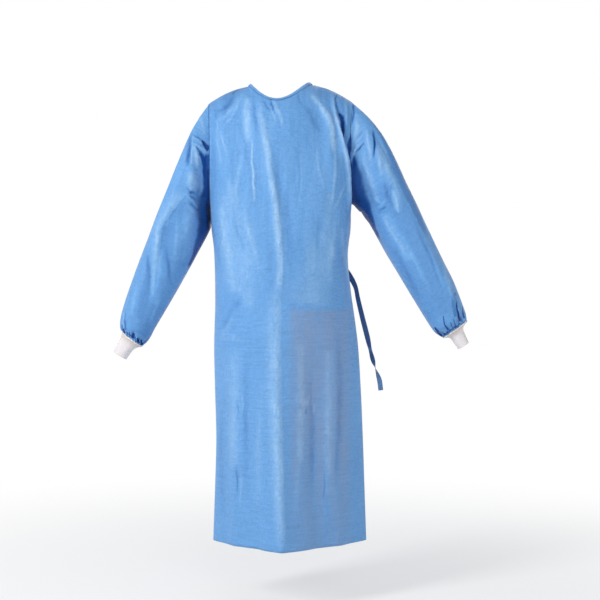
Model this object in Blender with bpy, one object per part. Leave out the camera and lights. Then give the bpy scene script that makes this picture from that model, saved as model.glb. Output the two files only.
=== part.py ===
"""Reusable surgical gown, filled out as it is when worn, with nobody in it.

Metres, +Z up, front of the gown towards -Y, the wearer's left towards +X. The origin lies between
the shoulders, half way up the shoulder seams. Every cloth piece is a thin closed wall made from a
grid of points: its outer face, and the same points moved inwards by the cloth's thickness.
"""

import math
from collections import namedtuple

import bmesh
import bpy
import numpy as np

# Cloth
WALL = 0.0015
KNIT_WALL = 0.0020
BINDING_WALL = 0.0020
TIE_WALL = 0.0012
SEAM_GAP = 0.0003
ARMPIT_GAP = 0.0010

# Body of the gown: level sections from the hem up to the armpits. The front closes to a soft
# prow towards the hem, so its power falls there and its foremost point, apex_x, moves.
Section = namedtuple("Section", "z centre_x apex_x half_width front_depth back_depth front_power back_power")
BODY_SECTIONS = (
    Section(-1.2050, 0.0210, 0.0040, 0.2065, 0.160, 0.138, 1.15, 1.70),
    Section(-1.0700, 0.0210, -0.0010, 0.2020, 0.156, 0.136, 1.22, 1.75),
    Section(-0.9350, 0.0205, -0.0060, 0.1980, 0.154, 0.133, 1.28, 1.80),
    Section(-0.7750, 0.0150, -0.0100, 0.1965, 0.149, 0.128, 1.42, 1.90),
    Section(-0.6750, 0.0108, -0.0103, 0.1940, 0.145, 0.124, 1.54, 2.00),
    Section(-0.5800, 0.0060, -0.0103, 0.1865, 0.140, 0.119, 1.70, 2.10),
    Section(-0.4950, 0.0008, -0.0095, 0.1800, 0.135, 0.116, 1.88, 2.20),
    Section(-0.4300, -0.0025, -0.0080, 0.1800, 0.132, 0.115, 2.04, 2.30),
    Section(-0.3650, -0.0025, -0.0055, 0.1878, 0.130, 0.116, 2.22, 2.35),
    Section(-0.3000, -0.0045, -0.0045, 0.1900, 0.129, 0.118, 2.40, 2.40),
)
ARMPIT_Z = -0.300

# Armholes, shoulders and neckline
ARMHOLE_HALF_DEPTH = 0.052
ARMHOLE_INSET = {-1: 0.004, 1: 0.007}
ARMHOLE_SWEEP = 0.55          # share of the armhole columns' places that follows its curve
ARMHOLE_LEAN = (0.35, 0.20, 0.92)
SHOULDER_BULGE = 0.008
OVER_SHOULDER = 0.88
OVER_TIP = (0.50, -0.20)
SHOULDER_LEAN = 0.6
NECK_CENTRE_X = -0.0040
NECK_HALF_WIDTH = 0.0796
NECK_POINT_Z = 0.0270
NECK_TILT = 0.0020
NECK_CENTRE_Y = 0.005
NECK_FRONT_DEPTH = 0.080
NECK_BACK_DEPTH = 0.066
NECK_FRONT_DROP = 0.0535
NECK_BACK_DROP = 0.0420
NECK_DROP_POWER = 2.3
NECK_FRONT_SHIFT = -0.008
NECK_RISE = (0.75, 0.66)      # how far the binding leans inwards, and how far it stands up
NECK_TURN = 1.5
BINDING_HEIGHT = 0.008
BINDING_PROUD = 0.0003

# Columns of a panel's grid that end on the armhole, the shoulder seam, the neckline and, at the
# back, past the centre line; a share is the way from the side seam to the centre, 0 to 1
ARMHOLE_COLUMNS = 10
SHOULDER_COLUMNS = 5
NECK_COLUMNS = 5
OVERLAP_COLUMNS = 3
TIP_SHARE = 0.405
NECK_CORNER_SHARE = 0.700
SOFTENING_ROUNDS = 3
SOFTENING_START = 0.06        # above the armpits
SOFTENING_SPAN = 0.10
SOFTENING_ACROSS = 0.7
PANEL_ROWS = 22
ROW_CROWDING = 1.45
LEAVE_PULL = 0.90
ARRIVE_PULL = 0.75
BEND_STEPS = 60
BELOW_ARMPIT = 0.02
LAP_INSET = 0.0035

# Sleeves: the outer and the inner edge of each ring in the front view, and its depth
Ring = namedtuple("Ring", "outer_x outer_z inner_x inner_z half_depth centre_y skew")
SLEEVE_RINGS = {
    -1: (
        Ring(-0.1971, -0.0283, -0.1944, -0.3000, ARMHOLE_HALF_DEPTH, 0.000, 0.000),
        Ring(-0.2355, -0.0940, -0.1985, -0.3110, 0.060, 0.000, 0.024),
        Ring(-0.2675, -0.1687, -0.1975, -0.3290, 0.066, 0.000, 0.038),
        Ring(-0.2965, -0.2420, -0.1960, -0.3500, 0.069, 0.000, 0.042),
        Ring(-0.3253, -0.3123, -0.2000, -0.3712, 0.069, -0.002, 0.032),
        Ring(-0.3536, -0.3793, -0.2305, -0.4333, 0.066, -0.006, 0.015),
        Ring(-0.3801, -0.4468, -0.2633, -0.4981, 0.062, -0.012, 0.004),
        Ring(-0.4052, -0.5175, -0.2995, -0.5629, 0.056, -0.018, 0.000),
        Ring(-0.4270, -0.5877, -0.3369, -0.6277, 0.048, -0.024, 0.000),
        Ring(-0.4320, -0.6277, -0.3565, -0.6640, 0.040, -0.026, 0.000),
        Ring(-0.4240, -0.6417, -0.3735, -0.6790, 0.031, -0.027, 0.000),
    ),
    1: (
        Ring(0.1904, -0.0256, 0.1836, -0.3000, ARMHOLE_HALF_DEPTH, 0.000, 0.000),
        Ring(0.2322, -0.0670, 0.1915, -0.2990, 0.058, 0.000, 0.012),
        Ring(0.2750, -0.1245, 0.2005, -0.3035, 0.064, 0.000, 0.020),
        Ring(0.3130, -0.1984, 0.2125, -0.3150, 0.068, 0.000, 0.020),
        Ring(0.3480, -0.2751, 0.2295, -0.3350, 0.069, -0.002, 0.015),
        Ring(0.3976, -0.3753, 0.2825, -0.4333, 0.066, -0.006, 0.005),
        Ring(0.4292, -0.4425, 0.3200, -0.4981, 0.062, -0.012, 0.000),
        Ring(0.4612, -0.5111, 0.3595, -0.5640, 0.055, -0.018, 0.000),
        Ring(0.4880, -0.5818, 0.3990, -0.6290, 0.046, -0.024, 0.000),
        Ring(0.4930, -0.5994, 0.4140, -0.6475, 0.038, -0.026, 0.000),
        Ring(0.4930, -0.6115, 0.4310, -0.6560, 0.026, -0.027, 0.000),
    ),
}
SLEEVE_POINTS = 4 * ARMHOLE_COLUMNS
SLEEVE_ROWS = 16
RING_POWER = 2 / 2.2
GATHERS = SLEEVE_POINTS // 2
GATHER_DEPTH = 0.0020
GATHER_START = 0.86
SEAM_CARRY = 1.5              # rings over which the sleeve leaves the armhole's shape
FOLD_START = 1.2

# Piping and cuffs at the sleeve ends
PIPING_RADIUS = 0.0020
PIPING_SIDES = 5
CUFF_POINTS = 28
CUFF_ROWS = 4
CUFF_RINGS = {
    -1: (
        Ring(-0.4310, -0.6580, -0.3925, -0.6872, 0.0225, -0.027, 0.0),
        Ring(-0.4385, -0.6745, -0.4030, -0.6968, 0.0195, -0.027, 0.0),
        Ring(-0.4502, -0.6955, -0.4158, -0.7160, 0.0190, -0.027, 0.0),
    ),
    1: (
        Ring(0.4850, -0.6310, 0.4490, -0.6590, 0.0200, -0.027, 0.0),
        Ring(0.4890, -0.6465, 0.4585, -0.6690, 0.0180, -0.027, 0.0),
        Ring(0.5005, -0.6700, 0.4720, -0.6890, 0.0180, -0.027, 0.0),
    ),
}

# Tie: it is sewn flat on the back panel behind the side seam, then leaves the cloth and hangs
# free. Its facing turns from 0, towards the front, through 90, towards the side, to 180.
TIE_WIDTH = 0.015
TIE_SPANS = 30
TIE_LIFT = 0.0026
TieRoot = namedtuple("TieRoot", "column z")
TIE_ROOTS = (TieRoot(8, -0.4430), TieRoot(7, -0.4475), TieRoot(6, -0.4530))
TieStation = namedtuple("TieStation", "x y z facing")
TIE_STATIONS = (
    TieStation(0.1760, 0.058, -0.4760, 142),
    TieStation(0.1900, 0.046, -0.4995, 155),
    TieStation(0.2000, 0.036, -0.5204, 135),
    TieStation(0.2070, 0.031, -0.5540, 138),
    TieStation(0.2185, 0.028, -0.6034, 146),
    TieStation(0.2340, 0.026, -0.6655, 146),
    TieStation(0.2405, 0.025, -0.6939, 120),
    TieStation(0.2470, 0.024, -0.7195, 135),
    TieStation(0.2545, 0.024, -0.7438, 85),
    TieStation(0.2650, 0.022, -0.7762, 30),
    TieStation(0.2685, 0.020, -0.8030, 30),
)

# Folds on the panels: a ridge, or a trough where the height is below 0, along a bowed line.
# Across the cloth, -1 and 1 are the side seams and 0 is the centre line.
Fold = namedtuple("Fold", "across_top z_top across_foot z_foot bow half_width height")
BELOW_HEM = -1.500
FRONT_FOLDS = (
    Fold(0.480, -0.020, 0.880, -0.340, 0.020, 0.050, 0.009),
    Fold(0.560, -0.060, 0.780, -0.225, 0.010, 0.045, -0.005),
    Fold(0.300, 0.000, 0.570, -0.300, 0.040, 0.060, 0.005),
    Fold(-0.130, -0.030, 0.000, -0.460, -0.020, 0.045, 0.006),
    Fold(-0.300, -0.110, -0.285, -0.330, 0.000, 0.035, 0.004),
    Fold(-0.520, -0.060, -0.500, -0.460, 0.000, 0.060, 0.005),
    Fold(0.600, -0.580, 0.660, BELOW_HEM, 0.000, 0.090, 0.006),
    Fold(0.350, -0.620, 0.390, BELOW_HEM, 0.000, 0.080, -0.005),
    Fold(-0.550, -0.560, -0.620, BELOW_HEM, 0.000, 0.100, 0.006),
    Fold(-0.300, -0.640, -0.330, BELOW_HEM, 0.000, 0.080, -0.004),
)
BACK_FOLDS = (
    Fold(-0.520, -0.080, -0.450, -0.660, 0.020, 0.060, 0.007),
    Fold(-0.720, -0.260, -0.640, -0.800, 0.000, 0.055, 0.006),
    Fold(-0.560, -0.560, -0.600, BELOW_HEM, 0.000, 0.090, -0.007),
    Fold(0.500, -0.070, 0.440, -0.580, 0.020, 0.060, 0.007),
    Fold(0.600, -0.520, 0.560, BELOW_HEM, 0.000, 0.090, -0.007),
    Fold(0.360, -0.500, 0.380, BELOW_HEM, 0.000, 0.060, 0.005),
)
# Folds on the sleeves: angle round the arm (0 under it, 90 in front, 180 on top) and the ring
# rows of the table where each one starts and ends
SleeveFold = namedtuple("SleeveFold", "angle_top row_top angle_foot row_foot half_width height")
SLEEVE_FOLDS = {
    -1: (
        SleeveFold(112, 0.6, 62, 5.4, 15, 0.009),
        SleeveFold(72, 0.5, 34, 4.6, 14, -0.012),
        SleeveFold(128, 2.2, 70, 8.4, 14, -0.005),
        SleeveFold(150, 1.4, 138, 4.6, 14, -0.005),
        SleeveFold(250, 0.8, 300, 5.6, 18, 0.009),
        SleeveFold(288, 0.6, 325, 4.6, 14, -0.009),
        SleeveFold(215, 2.4, 265, 7.6, 18, -0.005),
    ),
    1: (
        SleeveFold(126, 0.6, 84, 4.8, 15, 0.008),
        SleeveFold(78, 0.4, 44, 4.4, 14, -0.012),
        SleeveFold(140, 1.4, 128, 3.4, 11, -0.006),
        SleeveFold(106, 4.0, 128, 8.6, 16, 0.005),
        SleeveFold(250, 0.8, 300, 5.6, 18, 0.009),
        SleeveFold(288, 0.6, 325, 4.6, 14, -0.009),
        SleeveFold(215, 2.4, 265, 7.6, 18, -0.005),
    ),
}

# Materials: colour, roughness, metallic
FINISHES = {
    "blue_cloth": ((0.150, 0.370, 0.730), 0.55, 0.0),
    "white_piping": ((0.880, 0.900, 0.930), 0.70, 0.0),
    "white_knit": ((0.800, 0.780, 0.770), 0.85, 0.0),
}

UP = np.array((0.0, 0.0, 1.0))


def unit(vectors):
    """Vectors of length one, along the last axis."""
    return vectors / np.linalg.norm(vectors, axis=-1, keepdims=True)


def ease(value):
    """Smooth step from 0 to 1."""
    value = np.clip(value, 0.0, 1.0)
    return value * value * (3 - 2 * value)


def smooth_curve(keys, values, places):
    """Values at the places, on a smooth curve through the keyed values."""
    keys = np.asarray(keys, float)
    values = np.asarray(values, float)
    slopes = np.gradient(values, keys, axis=0)
    places = np.clip(np.asarray(places, float), keys[0], keys[-1])
    cell = np.clip(np.searchsorted(keys, places, side="right") - 1, 0, len(keys) - 2)
    span = keys[cell + 1] - keys[cell]
    part = (places - keys[cell]) / span
    if values.ndim > 1:
        part, span = part[..., None], span[..., None]
    before, after = values[cell], values[cell + 1]
    rise_before, rise_after = slopes[cell] * span, slopes[cell + 1] * span
    return (before * (1 + 2 * part) * (1 - part) ** 2 + rise_before * part * (1 - part) ** 2
            + after * part ** 2 * (3 - 2 * part) + rise_after * part ** 2 * (part - 1))


def signed_power(value, power):
    return np.sign(value) * np.abs(value) ** power


def torso_point(side, face, share, z):
    """Point of the gown's body at one height: side -1 or 1 in x, face 1 front or -1 back."""
    keys = [section.z for section in BODY_SECTIONS]
    section = Section(z, *smooth_curve(keys, np.array(BODY_SECTIONS)[:, 1:], z))
    depth, power = section.back_depth, 2 / section.back_power
    lead = 0.0
    if face > 0:
        depth, power = section.front_depth, 2 / section.front_power
        lead = section.apex_x - section.centre_x
    turn = np.linspace(0, math.pi / 2, 41)
    aside, ahead = np.abs(np.cos(turn)) ** power, np.sin(turn) ** power
    quarter = np.stack((section.centre_x + side * section.half_width * aside + lead * ahead,
                        -face * depth * ahead), axis=-1)
    lengths = run_lengths(quarter)
    x, y = (np.interp(share * lengths[-1], lengths, quarter[:, axis]) for axis in (0, 1))
    return np.array((x, y, z))


def run_lengths(points):
    """Distance along a line of points, from its start to each of them."""
    return np.concatenate(((0,), np.cumsum(np.linalg.norm(np.diff(points, axis=0), axis=1))))


def ring_points(ring, angles):
    """Closed ring of a sleeve or cuff: 0 under the arm, a quarter turn in front, a half on top."""
    outer = np.array((ring.outer_x, ring.outer_z))
    inner = np.array((ring.inner_x, ring.inner_z))
    centre, reach = (outer + inner) / 2, (outer - inner) / 2
    along = -signed_power(np.cos(angles), RING_POWER)
    across = signed_power(np.sin(angles), RING_POWER)
    flat = centre + along[:, None] * reach
    y = ring.centre_y - ring.half_depth * across - ring.skew * along
    return np.stack((flat[:, 0], y, flat[:, 1]), axis=-1)


def armhole_points(side, angles):
    """Armhole seam, at the same angles as the sleeve's rings."""
    points = ring_points(SLEEVE_RINGS[side][0], angles)
    points[:, 0] -= side * ARMHOLE_INSET[side] * np.sin(angles) ** 2
    return points


def neck_point(side, face, angle):
    """Top edge of the neckline: angle 0 at the neck point, a quarter turn at the centre."""
    depth = NECK_FRONT_DEPTH if face > 0 else NECK_BACK_DEPTH
    drop = NECK_FRONT_DROP if face > 0 else NECK_BACK_DROP
    turn = abs(math.sin(angle))
    x = NECK_CENTRE_X + side * NECK_HALF_WIDTH * math.cos(angle)
    if face > 0:
        x += NECK_FRONT_SHIFT * turn
    z = NECK_POINT_Z + side * NECK_TILT * math.cos(angle) - drop * turn ** NECK_DROP_POWER
    return np.array((x, NECK_CENTRE_Y - face * depth * turn, z))


def neck_rise(side, face, angle):
    """Direction in which the binding stands on the neckline: inwards and up."""
    inwards, up = NECK_RISE
    return unit(np.array((-side * inwards * math.cos(angle), face * inwards * math.sin(angle), up)))


def panel_neck_point(side, face, angle):
    """Where the panel ends under the binding."""
    below = BINDING_HEIGHT + 2 * SEAM_GAP
    return neck_point(side, face, angle) - below * neck_rise(side, face, angle)


Column = namedtuple("Column", "side face share top heading")


def armhole_columns(side, face):
    """Columns of a panel that end on its armhole, from the armpit to the shoulder tip."""
    columns = []
    leaning = unit(np.array((side * ARMHOLE_LEAN[0], face * ARMHOLE_LEAN[1], ARMHOLE_LEAN[2])))
    over = np.array((side * OVER_TIP[0], face * OVER_SHOULDER, OVER_TIP[1]))
    for index in range(ARMHOLE_COLUMNS + 1):
        turn = math.pi * index / ARMHOLE_COLUMNS
        place = ARMHOLE_SWEEP * math.sin(turn / 2) + (1 - ARMHOLE_SWEEP) * turn / math.pi
        top = armhole_points(side, np.array((face * turn,)))[0]
        lower, upper = ease(2 * turn / math.pi), ease(2 * turn / math.pi - 1)
        heading = (1 - lower) * UP + (lower - upper) * leaning + upper * over
        columns.append(Column(side, face, TIP_SHARE * place, top, heading))
    return columns


def shoulder_columns(side, face):
    """Columns that end on the shoulder seam, from beside its tip to the neck corner."""
    tip = armhole_points(side, np.array((math.pi,)))[0]
    corner = panel_neck_point(side, face, 0.0)
    inwards = unit(corner - tip)
    columns = []
    for index in range(1, SHOULDER_COLUMNS + 1):
        part = index / SHOULDER_COLUMNS
        top = tip + part * (corner - tip) + 4 * part * (1 - part) * SHOULDER_BULGE * UP
        lean = max(0.0, 2 * part - 1) - max(0.0, 1 - 2 * part)
        heading = np.array((0.0, face * OVER_SHOULDER, 0.0)) + SHOULDER_LEAN * lean * inwards
        share = TIP_SHARE + part * (NECK_CORNER_SHARE - TIP_SHARE)
        columns.append(Column(side, face, share, top, heading))
    return columns


def neck_columns(side, face, corner_heading):
    """Columns that end under the binding, from beside the neck corner to the centre line."""
    columns = []
    for index in range(1, NECK_COLUMNS + 1):
        part = index / NECK_COLUMNS
        turned = ease(NECK_TURN * part)
        neck_angle = part * math.pi / 2
        heading = (1 - turned) * corner_heading + turned * neck_rise(side, face, neck_angle)
        share = NECK_CORNER_SHARE + part * (1 - NECK_CORNER_SHARE)
        columns.append(Column(side, face, share, panel_neck_point(side, face, neck_angle), heading))
    return columns


def half_columns(side, face):
    """Columns of half a panel, from its side seam to the centre line."""
    columns = armhole_columns(side, face) + shoulder_columns(side, face)
    return columns + neck_columns(side, face, columns[-1].heading)


def column_points(column):
    """Points up one column: on the body's sections to the armpit, then a bend to its top."""
    hem_z = BODY_SECTIONS[0].z
    start = torso_point(column.side, column.face, column.share, ARMPIT_Z)
    below = torso_point(column.side, column.face, column.share, ARMPIT_Z - BELOW_ARMPIT)
    span = np.linalg.norm(column.top - start)
    leave, arrive = LEAVE_PULL * span * unit(start - below), ARRIVE_PULL * span * column.heading
    part = np.linspace(0, 1, BEND_STEPS)[:, None]
    bend = ((1 + 2 * part) * (1 - part) ** 2 * start + part * (1 - part) ** 2 * leave
            + part ** 2 * (3 - 2 * part) * column.top + part ** 2 * (part - 1) * arrive)
    lengths = run_lengths(bend)
    skirt = ARMPIT_Z - hem_z
    points = []
    for row in range(PANEL_ROWS + 1):
        travelled = (1 - (1 - row / PANEL_ROWS) ** ROW_CROWDING) * (skirt + lengths[-1])
        if travelled < skirt:
            points.append(torso_point(column.side, column.face, column.share, hem_z + travelled))
        else:
            points.append([np.interp(travelled - skirt, lengths, bend[:, axis]) for axis in range(3)])
    return np.array(points)


def fold_height(columns, points, folds):
    """How far the folds stand out at each point of a panel."""
    across = np.array([column.side * (1 - column.share) for column in columns])[:, None]
    z = points[..., 2]
    height = np.zeros(z.shape)
    for fold in folds:
        part = (fold.z_top - z) / (fold.z_top - fold.z_foot)
        centre = (fold.across_top + part * (fold.across_foot - fold.across_top)
                  + 4 * part * (1 - part) * fold.bow)
        ends = ease(part * 4) * ease((1 - part) * 4)
        height += fold.height * np.exp(-((across - centre) / fold.half_width) ** 2) * ends
    return height


def grid_normals(points, wrap=False):
    """Outward normals of a grid whose columns run to the wearer's right and rows upwards."""
    if wrap:
        along = np.roll(points, -1, axis=0) - np.roll(points, 1, axis=0)
    else:
        along = np.gradient(points, axis=0)
    up = np.gradient(points, axis=1)
    return unit(np.cross(along, up))


class Cloth:
    """A grid of outer points, columns first, with the direction of its wall at each point."""

    def __init__(self, points, wall, outward, wrap=False):
        self.points, self.wall, self.wrap, self.outward = points, wall, wrap, outward
        self.refresh()

    def refresh(self):
        self.normals = self.outward * grid_normals(self.points, self.wrap)

    def raise_folds(self, height):
        self.points = self.points + height[..., None] * self.normals
        self.refresh()

    def trim(self, edge, gap):
        """Draw one edge back within the surface: first, last, bottom or top."""
        edges = {"first": (0, slice(None)), "last": (-1, slice(None)),
                 "bottom": (slice(None), 0), "top": (slice(None), -1)}
        row = edges[edge]
        inner = {"first": (1, slice(None)), "last": (-2, slice(None)),
                 "bottom": (slice(None), 1), "top": (slice(None), -2)}[edge]
        line = self.points[row]
        if self.wrap:
            tangent = unit(np.roll(line, -1, axis=0) - np.roll(line, 1, axis=0))
        else:
            tangent = unit(np.gradient(line, axis=0))
        aside = unit(np.cross(self.normals[row], tangent))
        towards = np.sign(np.sum(aside * (self.points[inner] - line), axis=-1).sum())
        self.points[row] = line + towards * gap * aside

    def inner(self):
        return self.points - self.wall * self.normals


def build_wall(name, cloth, finish):
    """Closed thin body from a cloth grid: outer face, inner face and the rims between them."""
    outer, inner = cloth.points, cloth.inner()
    columns, rows = outer.shape[:2]
    mesh = bmesh.new()
    skins = []
    for grid in (outer, inner):
        skins.append([[mesh.verts.new(grid[column, row]) for row in range(rows)]
                      for column in range(columns)])
    spans = columns if cloth.wrap else columns - 1
    for column in range(spans):
        beside = (column + 1) % columns
        for row in range(rows - 1):
            for skin in skins:
                mesh.faces.new((skin[column][row], skin[beside][row],
                                skin[beside][row + 1], skin[column][row + 1]))
        for row in (0, rows - 1):
            mesh.faces.new((skins[0][column][row], skins[0][beside][row],
                            skins[1][beside][row], skins[1][column][row]))
    if not cloth.wrap:
        for column in (0, columns - 1):
            for row in range(rows - 1):
                mesh.faces.new((skins[0][column][row], skins[0][column][row + 1],
                                skins[1][column][row + 1], skins[1][column][row]))
    finish_body(name, mesh, finish)


def finish_body(name, mesh, finish):
    """Turn a bmesh into a smooth shaded object with its own material."""
    bmesh.ops.recalc_face_normals(mesh, faces=mesh.faces[:])
    data = bpy.data.meshes.new(name)
    mesh.to_mesh(data)
    mesh.free()
    data.shade_smooth()
    data.set_sharp_from_angle(angle=math.radians(60))
    body = bpy.data.objects.new(name, data)
    bpy.context.collection.objects.link(body)
    colour, roughness, metallic = FINISHES[finish]
    material = bpy.data.materials.new(name + "_" + finish)
    material.use_nodes = True
    shader = material.node_tree.nodes["Principled BSDF"]
    shader.inputs["Base Color"].default_value = (*colour, 1.0)
    shader.inputs["Roughness"].default_value = roughness
    shader.inputs["Metallic"].default_value = metallic
    data.materials.append(material)


def edge_fade(points):
    """0 on a panel's side and top edges, 1 two cells away from them."""
    columns, rows = points.shape[:2]
    across = np.minimum(np.arange(columns), np.arange(columns)[::-1])
    down = np.arange(rows)[::-1]
    return ease(across / 2)[:, None] * ease(down / 2)[None, :]


def body_half(face, side):
    """Columns and points of the whole front or back, from the side seam on one side to the other."""
    columns = half_columns(side, face) + half_columns(-side, face)[-2::-1]
    points = np.stack([column_points(column) for column in columns])
    for _ in range(SOFTENING_ROUNDS):
        middle = points[1:-1, 1:-1]
        share = 0.5 * ease((middle[..., 2:] - ARMPIT_Z - SOFTENING_START) / SOFTENING_SPAN)
        across = (points[:-2, 1:-1] + points[2:, 1:-1]) / 2
        along = (points[1:-1, :-2] + points[1:-1, 2:]) / 2
        even = SOFTENING_ACROSS * across + (1 - SOFTENING_ACROSS) * along
        points[1:-1, 1:-1] = middle + share * (even - middle)
    return columns, points


def front_cloth():
    columns, points = body_half(1, 1)
    cloth = Cloth(points, WALL, -1)
    cloth.raise_folds(fold_height(columns, points, FRONT_FOLDS) * edge_fade(points))
    return cloth


def back_cloth(side):
    """One back panel, from its side seam past the centre; the right one lies under the left."""
    count = ARMHOLE_COLUMNS + SHOULDER_COLUMNS + NECK_COLUMNS + 1 + OVERLAP_COLUMNS
    columns, points = (whole[:count] for whole in body_half(-1, side))
    cloth = Cloth(points, WALL, side)
    lap = lap_share(len(columns))[:, None]
    cloth.raise_folds(fold_height(columns, points, BACK_FOLDS) * edge_fade(points) * (1 - lap))
    top_edge = cloth.points[:, -1].copy()
    if side > 0:
        cloth.raise_folds(-LAP_INSET * lap * np.ones(points.shape[:2]))
    cloth.top_shift = cloth.points[:, -1] - top_edge
    return cloth


def lap_share(count):
    """0 on the side part of a back panel, 1 where the two panels lie on each other."""
    start = ARMHOLE_COLUMNS + SHOULDER_COLUMNS
    full = start + NECK_COLUMNS - OVERLAP_COLUMNS
    return ease((np.arange(count) - start) / (full - start))


def flatten_rim(cloth, row, ring):
    """Turn the wall's directions on one ring into its own plane, so that its rim is square."""
    axis = arm_direction(ring)
    normals = cloth.normals[:, row]
    cloth.normals[:, row] = unit(normals - np.sum(normals * axis, axis=1, keepdims=True) * axis)


def arm_direction(ring):
    """Along the arm, away from the shoulder, square to a ring."""
    side = math.copysign(1, ring.outer_x)
    across_x, across_z = ring.outer_x - ring.inner_x, ring.outer_z - ring.inner_z
    return unit(np.array((side * across_z, 0.0, -side * across_x)))


def sleeve_cloth(side):
    """Sleeve from the armhole to the gathered wrist."""
    rings = SLEEVE_RINGS[side]
    angles = np.arange(SLEEVE_POINTS) * 2 * math.pi / SLEEVE_POINTS
    place = np.linspace(0, len(rings) - 1, SLEEVE_ROWS + 1)
    table = smooth_curve(np.arange(len(rings)), np.array(rings), place)
    points = np.stack([ring_points(Ring(*row), angles) for row in table], axis=1)
    seam = armhole_points(side, angles)
    seam[1::2] = (seam[0::2] + np.roll(seam, -1, axis=0)[1::2]) / 2
    carry = np.clip(1 - place / SEAM_CARRY, 0, 1) ** 2
    points += (seam - points[:, 0])[:, None, :] * carry[None, :, None]
    cloth = Cloth(points, WALL, -side, wrap=True)
    flatten_rim(cloth, -1, rings[-1])
    height = np.zeros(points.shape[:2])
    for fold in SLEEVE_FOLDS[side]:
        part = (place - fold.row_top) / (fold.row_foot - fold.row_top)
        centre = np.radians(fold.angle_top + part * (fold.angle_foot - fold.angle_top))
        apart = np.angle(np.exp(1j * (angles[:, None] - centre[None, :])))
        ends = (ease(3 * part) * ease(3 * (1 - part)))[None, :]
        height += fold.height * np.exp(-(apart / math.radians(fold.half_width)) ** 2) * ends
    height *= ease(place / FOLD_START)[None, :]
    wave = np.cos(GATHERS * angles)[:, None]
    gathered = ease((place / (len(rings) - 1) - GATHER_START) / (1 - GATHER_START))
    cloth.raise_folds(height + GATHER_DEPTH * wave * gathered[None, :])
    flatten_rim(cloth, -1, rings[-1])
    return cloth


def binding_cloth(under_panel):
    """Band on the neckline, from one edge of the back overlap round the front to the other."""
    steps = list(range(NECK_COLUMNS + 1))
    past = steps[-2:-2 - OVERLAP_COLUMNS:-1]
    stops = [(-1, -1, step) for step in past[::-1]] + [(1, -1, step) for step in steps[::-1]]
    lapped = len(stops)
    stops += [(1, 1, step) for step in steps[1:]] + [(-1, 1, step) for step in steps[-2::-1]]
    stops += [(-1, -1, step) for step in steps[1:]] + [(1, -1, step) for step in past]
    points = []
    for side, face, step in stops:
        angle = step / NECK_COLUMNS * math.pi / 2
        top, rise = neck_point(side, face, angle), neck_rise(side, face, angle)
        points.append([top - share * BINDING_HEIGHT * rise for share in (1.0, 0.5, 0.0)])
    points = np.array(points)
    points[:lapped] += under_panel.top_shift[-lapped:][::-1, None]
    cloth = Cloth(points, BINDING_WALL, -1)
    cloth.raise_folds(np.full(points.shape[:2], BINDING_PROUD))
    return cloth


def tie_cloth(panel):
    """Flat tie: its root lies on the back panel, moved out from its points, then it hangs free."""
    centres, facings = [], []
    for root in TIE_ROOTS:
        line, normals = panel.points[root.column], panel.normals[root.column]
        lower, upper = (grid_place(line, line, root.z + part * TIE_WIDTH) for part in (-0.5, 0.5))
        facing, up = grid_place(line, normals, root.z), unit(upper - lower)
        facing = unit(facing - np.dot(facing, up) * up)
        centres.append((lower + upper) / 2 + TIE_LIFT * facing)
        facings.append(facing)
    for station in TIE_STATIONS:
        centres.append(np.array((station.x, station.y, station.z)))
        facings.append(facing_vector(station.facing))
    lengths = run_lengths(centres)
    places = np.linspace(0, lengths[-1], TIE_SPANS + 1)
    line = smooth_curve(lengths, centres, places)
    facing = smooth_curve(lengths, facings, places)
    width = unit(np.cross(np.gradient(line, axis=0), facing))
    points = line[:, None] + width[:, None] * (np.array((-0.5, 0.5)) * TIE_WIDTH)[None, :, None]
    return Cloth(points, TIE_WALL, -1)


def grid_place(line, values, z):
    """Value at one height on a panel's column of points."""
    return np.array([np.interp(z, line[:, 2], values[:, axis]) for axis in range(3)])


def facing_vector(degrees):
    """Level direction: 0 to the front, 90 to the wearer's left."""
    turn = math.radians(degrees)
    return np.array((math.sin(turn), -math.cos(turn), 0.0))


def beyond(ring, distance):
    """The ring moved along the arm, away from the shoulder."""
    step = distance * arm_direction(ring)
    return ring._replace(outer_x=ring.outer_x + step[0], outer_z=ring.outer_z + step[2],
                         inner_x=ring.inner_x + step[0], inner_z=ring.inner_z + step[2])


def build_piping(name, side):
    """Round piping in the seam between the gathered wrist and the cuff."""
    ring = beyond(SLEEVE_RINGS[side][-1], PIPING_RADIUS + SEAM_GAP)
    angles = np.arange(CUFF_POINTS) * 2 * math.pi / CUFF_POINTS
    centres = ring_points(ring, angles)
    middle = centres.mean(axis=0)
    tangents = unit(np.roll(centres, -1, axis=0) - np.roll(centres, 1, axis=0))
    outwards = centres - middle
    outwards = unit(outwards - np.sum(outwards * tangents, axis=1, keepdims=True) * tangents)
    mesh = bmesh.new()
    loops = []
    for turn in np.arange(PIPING_SIDES) * 2 * math.pi / PIPING_SIDES:
        along = np.cross(tangents, outwards)
        loop = centres + PIPING_RADIUS * (math.cos(turn) * outwards + math.sin(turn) * along)
        loops.append([mesh.verts.new(point) for point in loop])
    for index, loop in enumerate(loops):
        following = loops[(index + 1) % PIPING_SIDES]
        for point in range(CUFF_POINTS):
            beside = (point + 1) % CUFF_POINTS
            mesh.faces.new((loop[point], loop[beside], following[beside], following[point]))
    finish_body(name, mesh, "white_piping")


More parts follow.
